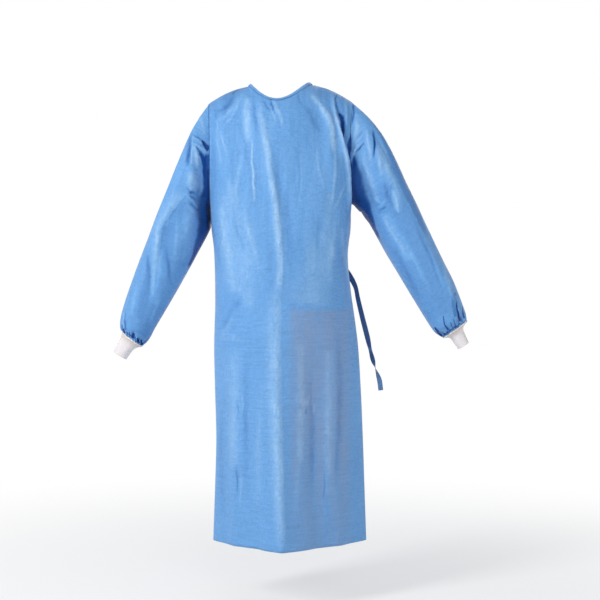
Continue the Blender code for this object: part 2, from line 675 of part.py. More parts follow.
def cuff_cloth(side):
    """Knitted cuff: flared at the piping, then a narrow tube."""
    start = beyond(SLEEVE_RINGS[side][-1], 2 * (PIPING_RADIUS + SEAM_GAP))
    rings = (start,) + CUFF_RINGS[side]
    angles = np.arange(CUFF_POINTS) * 2 * math.pi / CUFF_POINTS
    table = smooth_curve(np.arange(len(rings)), np.array(rings),
                         np.linspace(0, len(rings) - 1, CUFF_ROWS + 1))
    points = np.stack([ring_points(Ring(*row), angles) for row in table], axis=1)
    cloth = Cloth(points, KNIT_WALL, -side, wrap=True)
    flatten_rim(cloth, 0, rings[0])
    flatten_rim(cloth, -1, rings[-1])
    return cloth


def share_walls(first, first_index, second, second_index):
    """Give two pieces the same wall direction where their edges meet, unless they fold back."""
    total = first.normals[first_index] + second.normals[second_index]
    facing = np.sum(first.normals[first_index] * second.normals[second_index], axis=-1)
    share = ease((facing - 0.1) / 0.4)[..., None]
    common = unit(total + 1e-9)
    for cloth, index in ((first, first_index), (second, second_index)):
        cloth.normals[index] = unit((1 - share) * cloth.normals[index] + share * common)


def join_seams(front, backs, sleeves):
    """Match the walls along every seam, then draw the edges back from it."""
    steps = np.arange(ARMHOLE_COLUMNS + 1)
    last = len(front.points) - 1
    for side in (-1, 1):
        back, sleeve = backs[side], sleeves[side]
        edge = 0 if side > 0 else last
        share_walls(front, (edge, slice(None)), back, (0, slice(None)))
        seam_columns = np.arange(ARMHOLE_COLUMNS, ARMHOLE_COLUMNS + SHOULDER_COLUMNS + 1)
        front_columns = seam_columns if side > 0 else last - seam_columns
        share_walls(front, (front_columns, -1), back, (seam_columns, -1))
        front_columns = steps if side > 0 else last - steps
        share_walls(front, (front_columns, -1), sleeve, (2 * steps, 0))
        share_walls(back, (steps, -1), sleeve, ((SLEEVE_POINTS - 2 * steps) % SLEEVE_POINTS, 0))
        odd = np.arange(1, SLEEVE_POINTS, 2)
        sleeve.normals[odd, 0] = unit(sleeve.normals[odd - 1, 0]
                                      + sleeve.normals[(odd + 1) % SLEEVE_POINTS, 0])
        back.trim("first", SEAM_GAP)
        back.trim("top", SEAM_GAP)
        angles = np.arange(SLEEVE_POINTS) * 2 * math.pi / SLEEVE_POINTS
        armpit = ease(3 * np.cos(angles) - 2)[:, None]
        sleeve.trim("bottom", SEAM_GAP + armpit * (ARMPIT_GAP - SEAM_GAP))
    front.trim("first", SEAM_GAP)
    front.trim("last", SEAM_GAP)
    front.trim("top", SEAM_GAP)


def main():
    for item in list(bpy.data.objects):
        bpy.data.objects.remove(item, do_unlink=True)
    front = front_cloth()
    backs = {side: back_cloth(side) for side in (-1, 1)}
    sleeves = {side: sleeve_cloth(side) for side in (-1, 1)}
    join_seams(front, backs, sleeves)
    build_wall("front", front, "blue_cloth")
    for side, label in ((-1, "left"), (1, "right")):
        build_wall("back_" + label, backs[side], "blue_cloth")
        build_wall("sleeve_" + label, sleeves[side], "blue_cloth")
        build_piping("piping_" + label, side)
        build_wall("cuff_" + label, cuff_cloth(side), "white_knit")
    build_wall("neck_binding", binding_cloth(backs[1]), "blue_cloth")
    build_wall("waist_tie", tie_cloth(backs[1]), "blue_cloth")


main()
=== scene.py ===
import math

import bmesh
import bpy
import numpy as np
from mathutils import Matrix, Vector


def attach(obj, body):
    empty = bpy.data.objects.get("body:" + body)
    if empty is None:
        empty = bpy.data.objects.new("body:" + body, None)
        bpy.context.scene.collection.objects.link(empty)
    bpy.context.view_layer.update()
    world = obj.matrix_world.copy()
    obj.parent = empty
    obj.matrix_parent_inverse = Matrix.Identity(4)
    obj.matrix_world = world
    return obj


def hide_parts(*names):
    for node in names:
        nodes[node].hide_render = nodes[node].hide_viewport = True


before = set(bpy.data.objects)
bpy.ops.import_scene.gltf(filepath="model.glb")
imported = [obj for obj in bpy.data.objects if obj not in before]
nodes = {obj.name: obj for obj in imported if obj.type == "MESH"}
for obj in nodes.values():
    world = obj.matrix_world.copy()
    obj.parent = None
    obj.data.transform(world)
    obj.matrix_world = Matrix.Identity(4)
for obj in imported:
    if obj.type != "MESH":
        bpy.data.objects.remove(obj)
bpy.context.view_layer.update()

print("frame loaded")


def newMaterial(name):
    material = bpy.data.materials.new(name)
    material.use_nodes = True
    return material, material.node_tree


def setInputs(tree, node, inputs):
    # an input takes a number, a vector, a colour or the output of another node
    for name, value in inputs.items():
        socket = node.inputs[name]
        if isinstance(value, bpy.types.NodeSocket):
            tree.links.new(value, socket)
        elif socket.type == "RGBA":
            socket.default_value = (*value, 1)
        else:
            socket.default_value = value


def nodeOf(tree, kind, inputs, **settings):
    node = tree.nodes.new("ShaderNode" + kind)
    for name, value in settings.items():
        setattr(node, name, value)
    setInputs(tree, node, inputs)
    return node


viewpoint = {
    "place": (0.0486, -3.0, -0.5575),
    "lens": 66.66,
    "sensor": 36.0,
}

studio = {
    "overhead": (0.30, 0.32, 0.35),      # light from above, soft and a little blue
    "horizon": (1.0, 1.0, 1.0),          # a white band all round at eye level
    "bandHeight": 0.30,
    "lights": (
        # name, place, aimed at, width, height, watts, colour
        ("key", (-2.7, -2.2, 1.3), (0.0, 0.0, -0.6), 1.0, 1.8, 92.0, (1.0, 0.99, 0.97)),
        ("front", (0.9, -3.8, 0.9), (0.0, 0.0, -0.6), 2.0, 2.0, 30.0, (1.0, 1.0, 1.0)),
        ("back", (0.9, 3.2, 1.3), (0.0, 0.0, -0.6), 2.0, 2.0, 24.0, (1.0, 1.0, 1.0)),
    ),
    "floorHeight": -1.36,
    "floorRadius": 3.6,
    "floorSides": 96,
    "floorColour": (0.90, 0.90, 0.90),
    "floorRoughness": 0.9,
    "floorFade": (0.4, 2.2),             # the floor whitens out between these distances
    "floorGlow": 0.4,                    # and is this white under the gown
}


def addCamera(facts):
    lensData = bpy.data.cameras.new("viewpoint")
    lensData.lens = facts["lens"]
    lensData.sensor_width = facts["sensor"]
    camera = bpy.data.objects.new("viewpoint", lensData)
    camera.location = facts["place"]
    camera.rotation_euler = (math.radians(90), 0, 0)
    bpy.context.collection.objects.link(camera)
    bpy.context.scene.camera = camera


def addLights(facts):
    world = bpy.data.worlds.new("studio")
    bpy.context.scene.world = world
    world.use_nodes = True
    tree = world.node_tree
    direction = nodeOf(tree, "TexCoord", {})
    split = nodeOf(tree, "SeparateXYZ", {"Vector": direction.outputs["Generated"]})
    ramp = nodeOf(tree, "ValToRGB", {"Fac": split.outputs["Z"]})
    for stop, colour in enumerate(("horizon", "overhead")):
        ramp.color_ramp.elements[stop].position = (stop + 1) * facts["bandHeight"]
        ramp.color_ramp.elements[stop].color = (*facts[colour], 1)
    setInputs(tree, tree.nodes["Background"], {"Color": ramp.outputs["Color"]})
    for name, place, aim, width, height, watts, colour in facts["lights"]:
        lampData = bpy.data.lights.new(name, "AREA")
        lampData.shape = "RECTANGLE"
        lampData.size, lampData.size_y = width, height
        lampData.energy = watts
        lampData.color = colour
        lamp = bpy.data.objects.new(name, lampData)
        lamp.location = place
        lamp.rotation_euler = (Vector(aim) - Vector(place)).to_track_quat("-Z", "Y").to_euler()
        bpy.context.collection.objects.link(lamp)


def addFloor(facts):
    paint, tree = newMaterial("paleFloor")
    shader = tree.nodes["Principled BSDF"]
    setInputs(tree, shader, {"Base Color": facts["floorColour"],
                             "Roughness": facts["floorRoughness"]})
    place = nodeOf(tree, "TexCoord", {}).outputs["Object"]
    flat = nodeOf(tree, "VectorMath", {0: place, 1: (1, 1, 0)}, operation="MULTIPLY")
    away = nodeOf(tree, "VectorMath", {0: flat.outputs["Vector"]}, operation="LENGTH")
    near, far = facts["floorFade"]
    fade = nodeOf(tree, "MapRange", {"Value": away.outputs["Value"], "From Min": near,
                                     "From Max": far, "To Min": facts["floorGlow"]},
                  interpolation_type="SMOOTHSTEP")
    glow = nodeOf(tree, "Emission", {})
    blend = nodeOf(tree, "MixShader", {"Fac": fade.outputs["Result"], 1: shader.outputs["BSDF"],
                                       2: glow.outputs["Emission"]})
    setInputs(tree, tree.nodes["Material Output"], {"Surface": blend.outputs["Shader"]})
    disc = bmesh.new()
    bmesh.ops.create_circle(disc, cap_ends=True, segments=facts["floorSides"],
                            radius=facts["floorRadius"])
    bmesh.ops.translate(disc, verts=disc.verts, vec=(0, 0, facts["floorHeight"]))
    data = bpy.data.meshes.new("floor")
    disc.to_mesh(data)
    disc.free()
    data.materials.append(paint)
    floor = bpy.data.objects.new("floor", data)
    bpy.context.collection.objects.link(floor)


addCamera(viewpoint)
addLights(studio)
addFloor(studio)
bpy.context.scene.view_settings.view_transform = "Standard"
print("camera, light and floor")


def mergedCopy(name):
    # a CAD node's loose triangles, joined at their corners
    copy = bmesh.new()
    copy.from_mesh(nodes[name].data)
    bmesh.ops.remove_doubles(copy, verts=copy.verts, dist=1e-5)
    return copy


def islands(skin):
    # the faces in groups that hang together
    waiting = set(skin.faces)
    found = []
    while waiting:
        island = [waiting.pop()]
        for face in island:              # the list grows while it is walked
            near = {other for edge in face.edges for other in edge.link_faces} & waiting
            waiting -= near
            island.extend(near)
        found.append(island)
    return found


def outerSkin(name, rim):
    # the node without the narrow rims and the inner face of its wall
    skin = mergedCopy(name)
    rims = [face for face in skin.faces if min(edge.calc_length() for edge in face.edges) < rim]
    bmesh.ops.delete(skin, geom=rims, context="FACES")
    widest = max(islands(skin), key=lambda island: sum(face.calc_area() for face in island))
    inner = set(skin.faces) - set(widest)
    bmesh.ops.delete(skin, geom=list(inner), context="FACES")
    return skin


def openEdges(skin):
    # each open edge of the cloth as a list of vertices in order
    waiting = {vert for vert in skin.verts if vert.is_boundary}
    loops = []
    while waiting:
        loop, vert = [], min(waiting, key=lambda vert: vert.index)
        while vert:
            loop.append(vert)
            waiting.discard(vert)
            near = [edge.other_vert(vert) for edge in vert.link_edges if edge.is_boundary]
            vert = next((other for other in near if other in waiting), None)
        loops.append(loop)
    return loops


def beyondEdge(first, second, known):
    # the corner opposite an edge, on the side that isn't read yet
    for face in first.link_faces:
        if second in face.verts[:]:
            for vert in face.verts:
                if vert not in (first, second) and vert not in known:
                    return vert
    return None


def nextRow(below, start, known, tube):
    row = [start]
    for step in range(len(below) if tube else len(below) - 1):
        first, second = below[step], below[(step + 1) % len(below)]
        third = beyondEdge(first, second, known)
        if third == row[-1]:
            third = beyondEdge(row[-1], second, {first})
        if third is None:
            return None
        row.append(third)
    if tube and row.pop() != start:
        return None
    return row


def rowLength(below, row):
    return sum((a.co - b.co).length for a, b in zip(below, row))


def cornerTurn(loop, place):
    count = len(loop)
    into = loop[place % count].co - loop[(place - 1) % count].co
    out = loop[(place + 1) % count].co - loop[place % count].co
    return into.angle(out)


def meanHeight(verts):
    return sum(vert.co.z for vert in verts) / len(verts)


def readGrid(name, columns, rows, tube, rim):
    # the outer skin as a grid of points, columns across and rows upwards, facing outwards
    skin = outerSkin(name, rim)
    skin.verts.index_update()
    loops = openEdges(skin)
    if tube:
        mouth = max(loops, key=meanHeight)
        lowest = min(range(columns), key=lambda place: mouth[place].co.z)
        grid = [mouth[lowest:] + mouth[:lowest]]
    else:
        # the four sharpest corners, begun at the lower edge
        loop = loops[0]
        turns = (0, columns - 1, columns + rows - 2, 2 * columns + rows - 3)
        scores = [sum(cornerTurn(loop, start + turn) for turn in turns)
                  for start in range(len(loop))]
        best = max(scores) - 1e-6
        starts = [start for start, score in enumerate(scores) if score >= best]
        ringed = loop + loop
        start = min(starts, key=lambda place: meanHeight(ringed[place:place + columns]))
        grid = [ringed[start:start + columns]]
    known = set(grid[0])
    while len(grid) < rows:
        below = grid[-1]
        if tube:
            tries = [edge.other_vert(below[0]) for edge in below[0].link_edges]
            found = [nextRow(below, vert, known, True) for vert in tries if vert not in known]
            row = min((row for row in found if row), key=lambda row: rowLength(below, row))
        else:
            row = nextRow(below, loop[(start - len(grid)) % len(loop)], known, False)
        grid.append(row)
        known.update(row)
    points = np.array([[tuple(vert.co) for vert in row] for row in grid]).transpose(1, 0, 2)
    across, up = points[1, 0] - points[0, 0], points[0, 1] - points[0, 0]
    if np.dot(np.cross(across, up), np.array(grid[0][0].link_faces[0].normal)) < 0:
        points = np.roll(points[::-1], 1, axis=0) if tube else points[::-1]
    skin.free()
    return points


def alongRows(points, count, closed=False, crowd=0.0):
    # a smooth curve through the points of the first axis; crowd brings its last steps closer
    last = len(points) if closed else len(points) - 1
    at = np.linspace(0, last, count, endpoint=not closed)
    at = at + crowd * at * (1 - at / last)
    cell = np.minimum(at.astype(int), last - 1)
    part = (at - cell).reshape(-1, *([1] * (points.ndim - 1)))

    def near(step):
        place = cell + step
        return points[place % len(points)] if closed else points[np.clip(place, 0, len(points) - 1)]

    a, b, c, d = near(-1), near(0), near(1), near(2)
    return 0.5 * (2 * b + (c - a) * part + (2 * a - 5 * b + 4 * c - d) * part ** 2
                  + (3 * b - 3 * c + d - a) * part ** 3)


def finer(grid, across, up, tube=False, crowd=0.0):
    wide = alongRows(grid, across, tube)
    return alongRows(wide.transpose(1, 0, 2), up, False, crowd).transpose(1, 0, 2)


def facing(places, tube=False):
    # the outward direction at each point
    if tube:
        across = np.roll(places, -1, axis=0) - np.roll(places, 1, axis=0)
    else:
        across = np.gradient(places, axis=0)
    out = np.cross(across, np.gradient(places, axis=1))
    return out / np.maximum(np.linalg.norm(out, axis=2, keepdims=True), 1e-12)


def runFrom(places, axis, back=False):
    # the way along the rows or columns from one edge of the cloth
    places = np.flip(places, axis) if back else places
    steps = np.linalg.norm(np.diff(places, axis=axis), axis=2)
    none = np.zeros_like(np.take(steps, [0], axis))
    run = np.concatenate([none, np.cumsum(steps, axis=axis)], axis=axis)
    return np.flip(run, axis) if back else run


def ease(value, low, high):
    part = np.clip((value - low) / (high - low), 0, 1)
    return part * part * (3 - 2 * part)


def heldAt(base, fade, edges):
    # 0 at the sewn edges and 1 beyond the fade; an edge is an axis and whether it is the far one
    held = 1
    for axis, far in edges:
        held = held * ease(runFrom(base, axis, far), 0, fade)
    return held


def alongPath(x, z, stops):
    # signed distance from a path, the share of the path gone, and the values its stops carry;
    # the distance is above 0 on the viewer's left of a path that runs down
    stops = np.array(stops, dtype=float)
    places = stops[:, :2] / 1000
    lengths = np.linalg.norm(places[1:] - places[:-1], axis=1)
    nearest = np.full(x.shape, 1e9)
    offset, share = np.zeros_like(x), np.zeros_like(x)
    extra = np.zeros((*x.shape, stops.shape[1] - 2))
    gone = 0.0
    for step, length in enumerate(lengths):
        runX, runZ = (places[step + 1] - places[step]) / length
        dx, dz = x - places[step, 0], z - places[step, 1]
        along = np.clip(dx * runX + dz * runZ, 0, length)
        away = np.hypot(dx - along * runX, dz - along * runZ)
        closer = away < nearest
        side = np.sign(dx * runZ - dz * runX)
        nearest = np.where(closer, away, nearest)
        offset = np.where(closer, away * side, offset)
        share = np.where(closer, (gone + along) / lengths.sum(), share)
        part = (along / length)[..., None]
        carried = stops[step, 2:] * (1 - part) + stops[step + 1, 2:] * part
        extra = np.where(closer[..., None], carried, extra)
        gone += length
    return offset, share, extra


marks = {
    "bluntness": 0.7,                    # of the ends of a fold
    "lean": 1.65,                        # makes a one-sided fold as high as a ridge
    "bandEnd": 0.08,                     # share of a band over which its ends fade
    "toneRange": (-1.6, 1),
    # each layer of unevenness: share, width and height in metres, seed
    "mottled": ((0.35, 0.005, 0.012, 21), (0.25, 0.012, 0.035, 22)),
    "movedAcross": ((0.0013, 0.007, 0.011, 61), (0.0009, 0.014, 0.027, 62)),
    "movedUp": ((0.0016, 0.010, 0.016, 63),),
}


def foldRise(x, z, facts):
    # how far the cloth stands out, and the painted light and shade of its folds
    rise, tone = np.zeros_like(x), np.zeros_like(x)
    for kind in ("folds", "pleats"):
        for width, height, *path in facts[kind]:
            offset, share, _ = alongPath(x, z, path)
            ends = np.sin(np.pi * np.clip(share, 0, 1)) ** marks["bluntness"]
            across = offset / (width / 1000)
            shape = height * ends * np.exp(-across ** 2)
            if kind == "pleats":             # raised on one side, sunk on the other
                shape = -across * shape * marks["lean"]
            rise += shape / 1000
            # painted light and shade: a ridge reads lighter, a trough darker
            tone += shape / width
    return rise, np.clip(tone, -1, 1)


def bandShape(x, z, steep, path):
    # 1 along a path, falling away over the reach to its left and right that its stops carry
    offset, share, reach = alongPath(x, z, path)
    width = np.where(offset > 0, reach[..., 0], reach[..., 1]) / 1000
    ends = ease(share, 0, marks["bandEnd"]) * ease(1 - share, 0, marks["bandEnd"])
    return ends * np.exp(-np.abs(offset / width) ** steep)


def hollowDepth(x, z, hollowsAndShade):
    # hollows and their painted shade: depth, steepness of the painted shade's edge, its darkness
    # and path
    depth, shade = np.zeros_like(x), np.zeros_like(x)
    for deep, steep, dark, *path in hollowsAndShade:
        depth = np.maximum(depth, deep / 1000 * bandShape(x, z, 2, path))
        shade = np.maximum(shade, dark * bandShape(x, z, steep, path))
    return depth, shade


def highlightShare(x, z, bands):
    # painted highlights where the cloth catches the light: strength, steepness and path
    pale = np.zeros_like(x)
    for strength, steep, *path in bands:
        pale = np.maximum(pale, strength * bandShape(x, z, steep, path))
    return pale


def softNoise(u, v, wide, high, seed, size=64):
    # smooth uneven rise and fall between -1 and 1, the same every run
    grid = np.random.RandomState(seed).uniform(-1, 1, (size, size))
    cellU, cellV = np.floor(u / wide).astype(int), np.floor(v / high).astype(int)
    partU, partV = ease(u / wide - cellU, 0, 1), ease(v / high - cellV, 0, 1)

    def near(stepU, stepV):
        return grid[(cellU + stepU) % size, (cellV + stepV) % size]

    low = near(0, 0) * (1 - partU) + near(1, 0) * partU
    return low * (1 - partV) + (near(0, 1) * (1 - partU) + near(1, 1) * partU) * partV


def uneven(u, v, layers):
    return sum(share * softNoise(u, v, *layer) for share, *layer in layers)


def mottle(x, z):
    # the painted light and shade of folds and highlights is never even
    return 1 + uneven(x, z, marks["mottled"])


def rumpled(x, z):
    # the same marks on cloth that is never quite straight
    return x + uneven(x, z, marks["movedAcross"]), z + uneven(x, z, marks["movedUp"])


def onPaper(places):
    # fold marks are drawn on an upright sheet through the side seams, seen from the viewpoint
    eyeX, eyeY, eyeZ = viewpoint["place"]
    scale = eyeY / (eyeY - places[..., 1])
    return eyeX + (places[..., 0] - eyeX) * scale, eyeZ + (places[..., 2] - eyeZ) * scale


def weaveRun(places, out, tube=False, along=(0, 0, 1)):
    # the way along the weft and the warp to each point in metres, as the cut piece would lie flat
    if tube:
        places = np.concatenate([places, places[:1]])
        out = np.concatenate([out, out[:1]])
    weft = np.cross(np.broadcast_to(along, places.shape), out)
    weft /= np.maximum(np.linalg.norm(weft, axis=2, keepdims=True), 1e-9)
    warp = np.cross(out, weft)
    weft *= np.sign((np.diff(places, axis=0) * weft[:-1]).sum())     # counted as the columns go
    hem, steps = np.diff(places[:, 0], axis=0), np.diff(places, axis=1)
    run = np.zeros((*places.shape[:2], 2))
    for which, thread in enumerate((weft, warp)):
        across, up = (thread[1:, 0] + thread[:-1, 0]) / 2, (thread[:, 1:] + thread[:, :-1]) / 2
        run[1:, 0, which] = np.cumsum((hem * across).sum(axis=1))
        run[:, 1:, which] = run[:, :1, which] + np.cumsum((steps * up).sum(axis=2), axis=1)
    return run


def shaped(base, out, rise, depth=0):
    # folds stand out from the cloth, and hollows go straight back from the front
    places = base + out * rise[..., None]
    places[..., 1] += depth * np.clip(-out[..., 1], 0, 1)
    return places


def readCloth(name, facts, tube=False):
    # the smooth form of a piece and its outward directions
    grid = readGrid(name, *facts["corners"], tube, facts.get("rim", 0.0022))
    base = finer(grid, *facts["points"], tube, facts.get("crowd", 0))
    return base, facing(base, tube)


def clothPiece(name, places, run, thickness, material, tube=False, **painted):
    # a sheet of quads with its weave as UV map, the painted values as attributes and a wall inwards
    across, up = places.shape[:2]
    cells = across if tube else across - 1
    cloth = bmesh.new()
    weave = cloth.loops.layers.uv.new("UVMap")
    layers = {paint: cloth.verts.layers.float.new(paint) for paint in painted}
    bmesh.ops.create_grid(cloth, x_segments=cells, y_segments=up - 1, size=0.5)
    where = {}
    for vert in cloth.verts:
        column = round((vert.co.x + 0.5) * cells)
        row = round((vert.co.y + 0.5) * (up - 1))
        where[vert] = (column, row)
        vert.co = places[column % across, row]
        for paint, layer in layers.items():
            vert[layer] = painted[paint][column % across, row]
    for face in cloth.faces:
        face.smooth = True
        for loop in face.loops:
            loop[weave].uv = run[where[loop.vert]]
    if tube:
        bmesh.ops.remove_doubles(cloth, verts=cloth.verts, dist=1e-7)
    data = bpy.data.meshes.new(name)
    cloth.to_mesh(data)
    cloth.free()
    data.materials.append(material)
    piece = bpy.data.objects.new(name, data)
    bpy.context.collection.objects.link(piece)
    wall = piece.modifiers.new("wall", "SOLIDIFY")
    wall.thickness = thickness
    wall.offset = -1
    return piece


def mathNode(tree, operation, first, second, clamped=False):
    node = nodeOf(tree, "Math", {0: first, 1: second}, operation=operation, use_clamp=clamped)
    return node.outputs["Value"]


def mixColour(tree, blend, factor, first, second):
    node = nodeOf(tree, "Mix", {}, data_type="RGBA", blend_type=blend)
    setInputs(tree, node, {0: factor, 6: first, 7: second})
    return node.outputs[2]


def noiseOf(tree, vector, scale, detail, bend=0.0):
    if isinstance(scale, tuple):         # stretched along the threads
        vector = nodeOf(tree, "Mapping", {"Vector": vector, "Scale": scale}).outputs["Vector"]
        scale = 1
    noise = nodeOf(tree, "TexNoise", {"Vector": vector, "Scale": scale, "Detail": detail,
                                      "Distortion": bend})
    return noise.outputs["Fac"]


def waveOf(tree, vector, direction, scale, bend, **more):
    wave = nodeOf(tree, "TexWave", {"Vector": vector, "Scale": scale, "Distortion": bend, **more},
                  bands_direction=direction)
    return wave.outputs["Fac"]


def rangeOf(tree, value, span, result=(0, 1)):
    node = nodeOf(tree, "MapRange", {"Value": value, "From Min": span[0], "From Max": span[1],
                                     "To Min": result[0], "To Max": result[1]})
    return node.outputs["Result"]


def bumpOf(tree, height, strength, depth, under=None):
    inputs = {"Height": height, "Strength": strength, "Distance": depth}
    if under:
        inputs["Normal"] = under
    return nodeOf(tree, "Bump", inputs).outputs["Normal"]


def painted(tree, name):
    return nodeOf(tree, "Attribute", {}, attribute_name=name).outputs["Fac"]


gownCloth = {
    "deep": (0.100, 0.272, 0.560),
    "light": (0.126, 0.318, 0.625),
    "paintedHighlight": (0.41, 0.60, 0.79),          # painted highlight where folds stand proud and catch the light
    "shaded": (0.001, 0.056, 0.255),     # in the folds
    "deepest": (0.0002, 0.020, 0.110),   # where no light gets in
    "clouds": (7.0, 4),                  # scale and detail of the patches from deep to light
    "grains": (170.0, 3),                # and of the small grains in the dye
    "noiseSpan": (0.3, 0.7),             # where the noise mostly lies
    "grainDye": (0.94, 1.06),            # how dark and light the grains turn the dye
    "grainHighlight": (0.38, 0.60),           # and how much of a fold's painted highlight they let through
    "slubSpan": (0.7, 1.3),
    "slubDye": (0.93, 1.07),
    "shadeGain": -1.15,                  # how soon a fold turns to its shaded colour
    "deepestFrom": (-0.9, -1.6),         # and to its deepest
    "threads": (420.0, 0.6),             # scale and unevenness
    "threadDetail": {"Detail": 1.0, "Detail Scale": 0.3},
    "slubs": ((36, 504, 1), 3),          # thicker threads: fineness, length, depth and detail
    "crinkles": ((42, 95, 1), 3, 0.6),
    "weaveBump": (0.35, 0.0002),         # strength and depth
    "slubBump": (0.18, 0.0012),
    "crinkleBump": (0.85, 0.0040),
    "roughness": 0.50,
    "specular": 0.22,
    "sheen": 0.12,
    "sheenRoughness": 0.45,
}

doubledCloth = {
    "backing": (0.190, 0.275, 0.450),    # a second layer shows through
    "streaks": ((12, 230, 1), 2),        # of the weft over it
    "streakDye": (0.945, 1.055),
}


def threadBump(tree, cloth, facts):
    # warp and weft threads, slubs and crinkles, raised by bump
    threads = [waveOf(tree, cloth, direction, *facts["threads"], **facts["threadDetail"])
               for direction in ("X", "Y")]
    (fine, long, deep), detail = facts["slubs"]
    slubs = mathNode(tree, "ADD", noiseOf(tree, cloth, (fine, long, deep), detail),
                     noiseOf(tree, cloth, (long, fine, deep), detail))
    crushed = noiseOf(tree, cloth, *facts["crinkles"])
    normal = bumpOf(tree, mathNode(tree, "MAXIMUM", *threads), *facts["weaveBump"])
    normal = bumpOf(tree, slubs, *facts["slubBump"], normal)
    return bumpOf(tree, crushed, *facts["crinkleBump"], normal), slubs


def clothMaterial(name, facts):
    material, tree = newMaterial(name)
    place = nodeOf(tree, "TexCoord", {})
    cloth, gown = place.outputs["UV"], place.outputs["Object"]
    normal, slubs = threadBump(tree, cloth, facts)
    grains = noiseOf(tree, gown, *facts["grains"])
    clouds = noiseOf(tree, gown, *facts["clouds"])
    folds, span = painted(tree, "folds"), facts["noiseSpan"]
    dye = mixColour(tree, "MIX", clouds, facts["deep"], facts["light"])
    dye = mixColour(tree, "MULTIPLY", 1, dye, rangeOf(tree, grains, span, facts["grainDye"]))
    slubDye = rangeOf(tree, slubs, facts["slubSpan"], facts["slubDye"])
    dye = mixColour(tree, "MULTIPLY", 1, dye, slubDye)
    if "backing" in facts:
        weft = noiseOf(tree, cloth, *facts["streaks"])
        streaks = rangeOf(tree, weft, span, facts["streakDye"])
        dye = mixColour(tree, "MIX", painted(tree, "backing"), dye, facts["backing"])
        dye = mixColour(tree, "MULTIPLY", painted(tree, "doubled"), dye, streaks)
    highlightGrain = rangeOf(tree, grains, span, facts["grainHighlight"])
    proud = mathNode(tree, "MULTIPLY", folds, highlightGrain, True)
    sunk = mathNode(tree, "MULTIPLY", folds, facts["shadeGain"], True)
    hidden = rangeOf(tree, folds, facts["deepestFrom"])
    # painted highlight on raised folds, painted shade in sunk ones, painted deep shade where no
    # light gets in
    for share, colour in ((proud, "paintedHighlight"), (sunk, "shaded"), (hidden, "deepest")):
        dye = mixColour(tree, "MIX", share, dye, facts[colour])
    setInputs(tree, tree.nodes["Principled BSDF"], {
        "Base Color": dye, "Normal": normal, "Roughness": facts["roughness"],
        "Specular IOR Level": facts["specular"], "Sheen Weight": facts["sheen"],
        "Sheen Roughness": facts["sheenRoughness"]})
    return material


blueCloth = clothMaterial("blueCloth", gownCloth)
frontCloth = clothMaterial("frontCloth", {**gownCloth, **doubledCloth})
# a shaded copy of the gown's cloth: the same fabric painted darker, as the tie hangs in shade
shadedTieCloth = clothMaterial("shadedTieCloth", {**gownCloth, "deep": (0.035, 0.085, 0.22),
                                      "light": (0.05, 0.11, 0.27), "paintedHighlight": (0.24, 0.50, 0.90)})
pipingTape = clothMaterial("pipingTape", {**gownCloth, "deep": (0.90, 0.91, 0.93),
                                          "light": (0.94, 0.95, 0.96)})

cuffYarn = {
    "pale": (0.67, 0.64, 0.66),
    "underPipingShade": (0.50, 0.42, 0.39),          # painted shade in the hollow under the piping
    "ribs": (150.0, 0.8),                # scale and wobble
    "stitches": (120.0, 1.5),
    "stitchShare": 0.35,
    "ribShade": (0.93, 1.0),             # between the ribs and on them
    "bump": (0.3, 0.0003),               # strength and depth
    "roughness": 0.85,
    "specular": 0.2,
    "sheen": 0.3,
}


def knitMaterial(name, facts):
    # fine ribs along the arm, each of small stitches
    material, tree = newMaterial(name)
    knit = nodeOf(tree, "TexCoord", {}).outputs["UV"]
    ribs = waveOf(tree, knit, "X", *facts["ribs"])
    stitches = waveOf(tree, knit, "Y", *facts["stitches"])
    knitted = mathNode(tree, "MULTIPLY", stitches, facts["stitchShare"])
    knitted = mathNode(tree, "ADD", ribs, knitted)
    # painted shadow under the piping and towards the cuff's end
    yarn = mixColour(tree, "MIX", painted(tree, "folds"), facts["pale"], facts["underPipingShade"])
    yarn = mixColour(tree, "MULTIPLY", 1, yarn, rangeOf(tree, ribs, (0, 1), facts["ribShade"]))
    setInputs(tree, tree.nodes["Principled BSDF"], {
        "Base Color": yarn, "Normal": bumpOf(tree, knitted, *facts["bump"]),
        "Roughness": facts["roughness"], "Specular IOR Level": facts["specular"],
        "Sheen Weight": facts["sheen"]})
    return material


cuffKnit = knitMaterial("cuffKnit", cuffYarn)
print("cloth and knit")


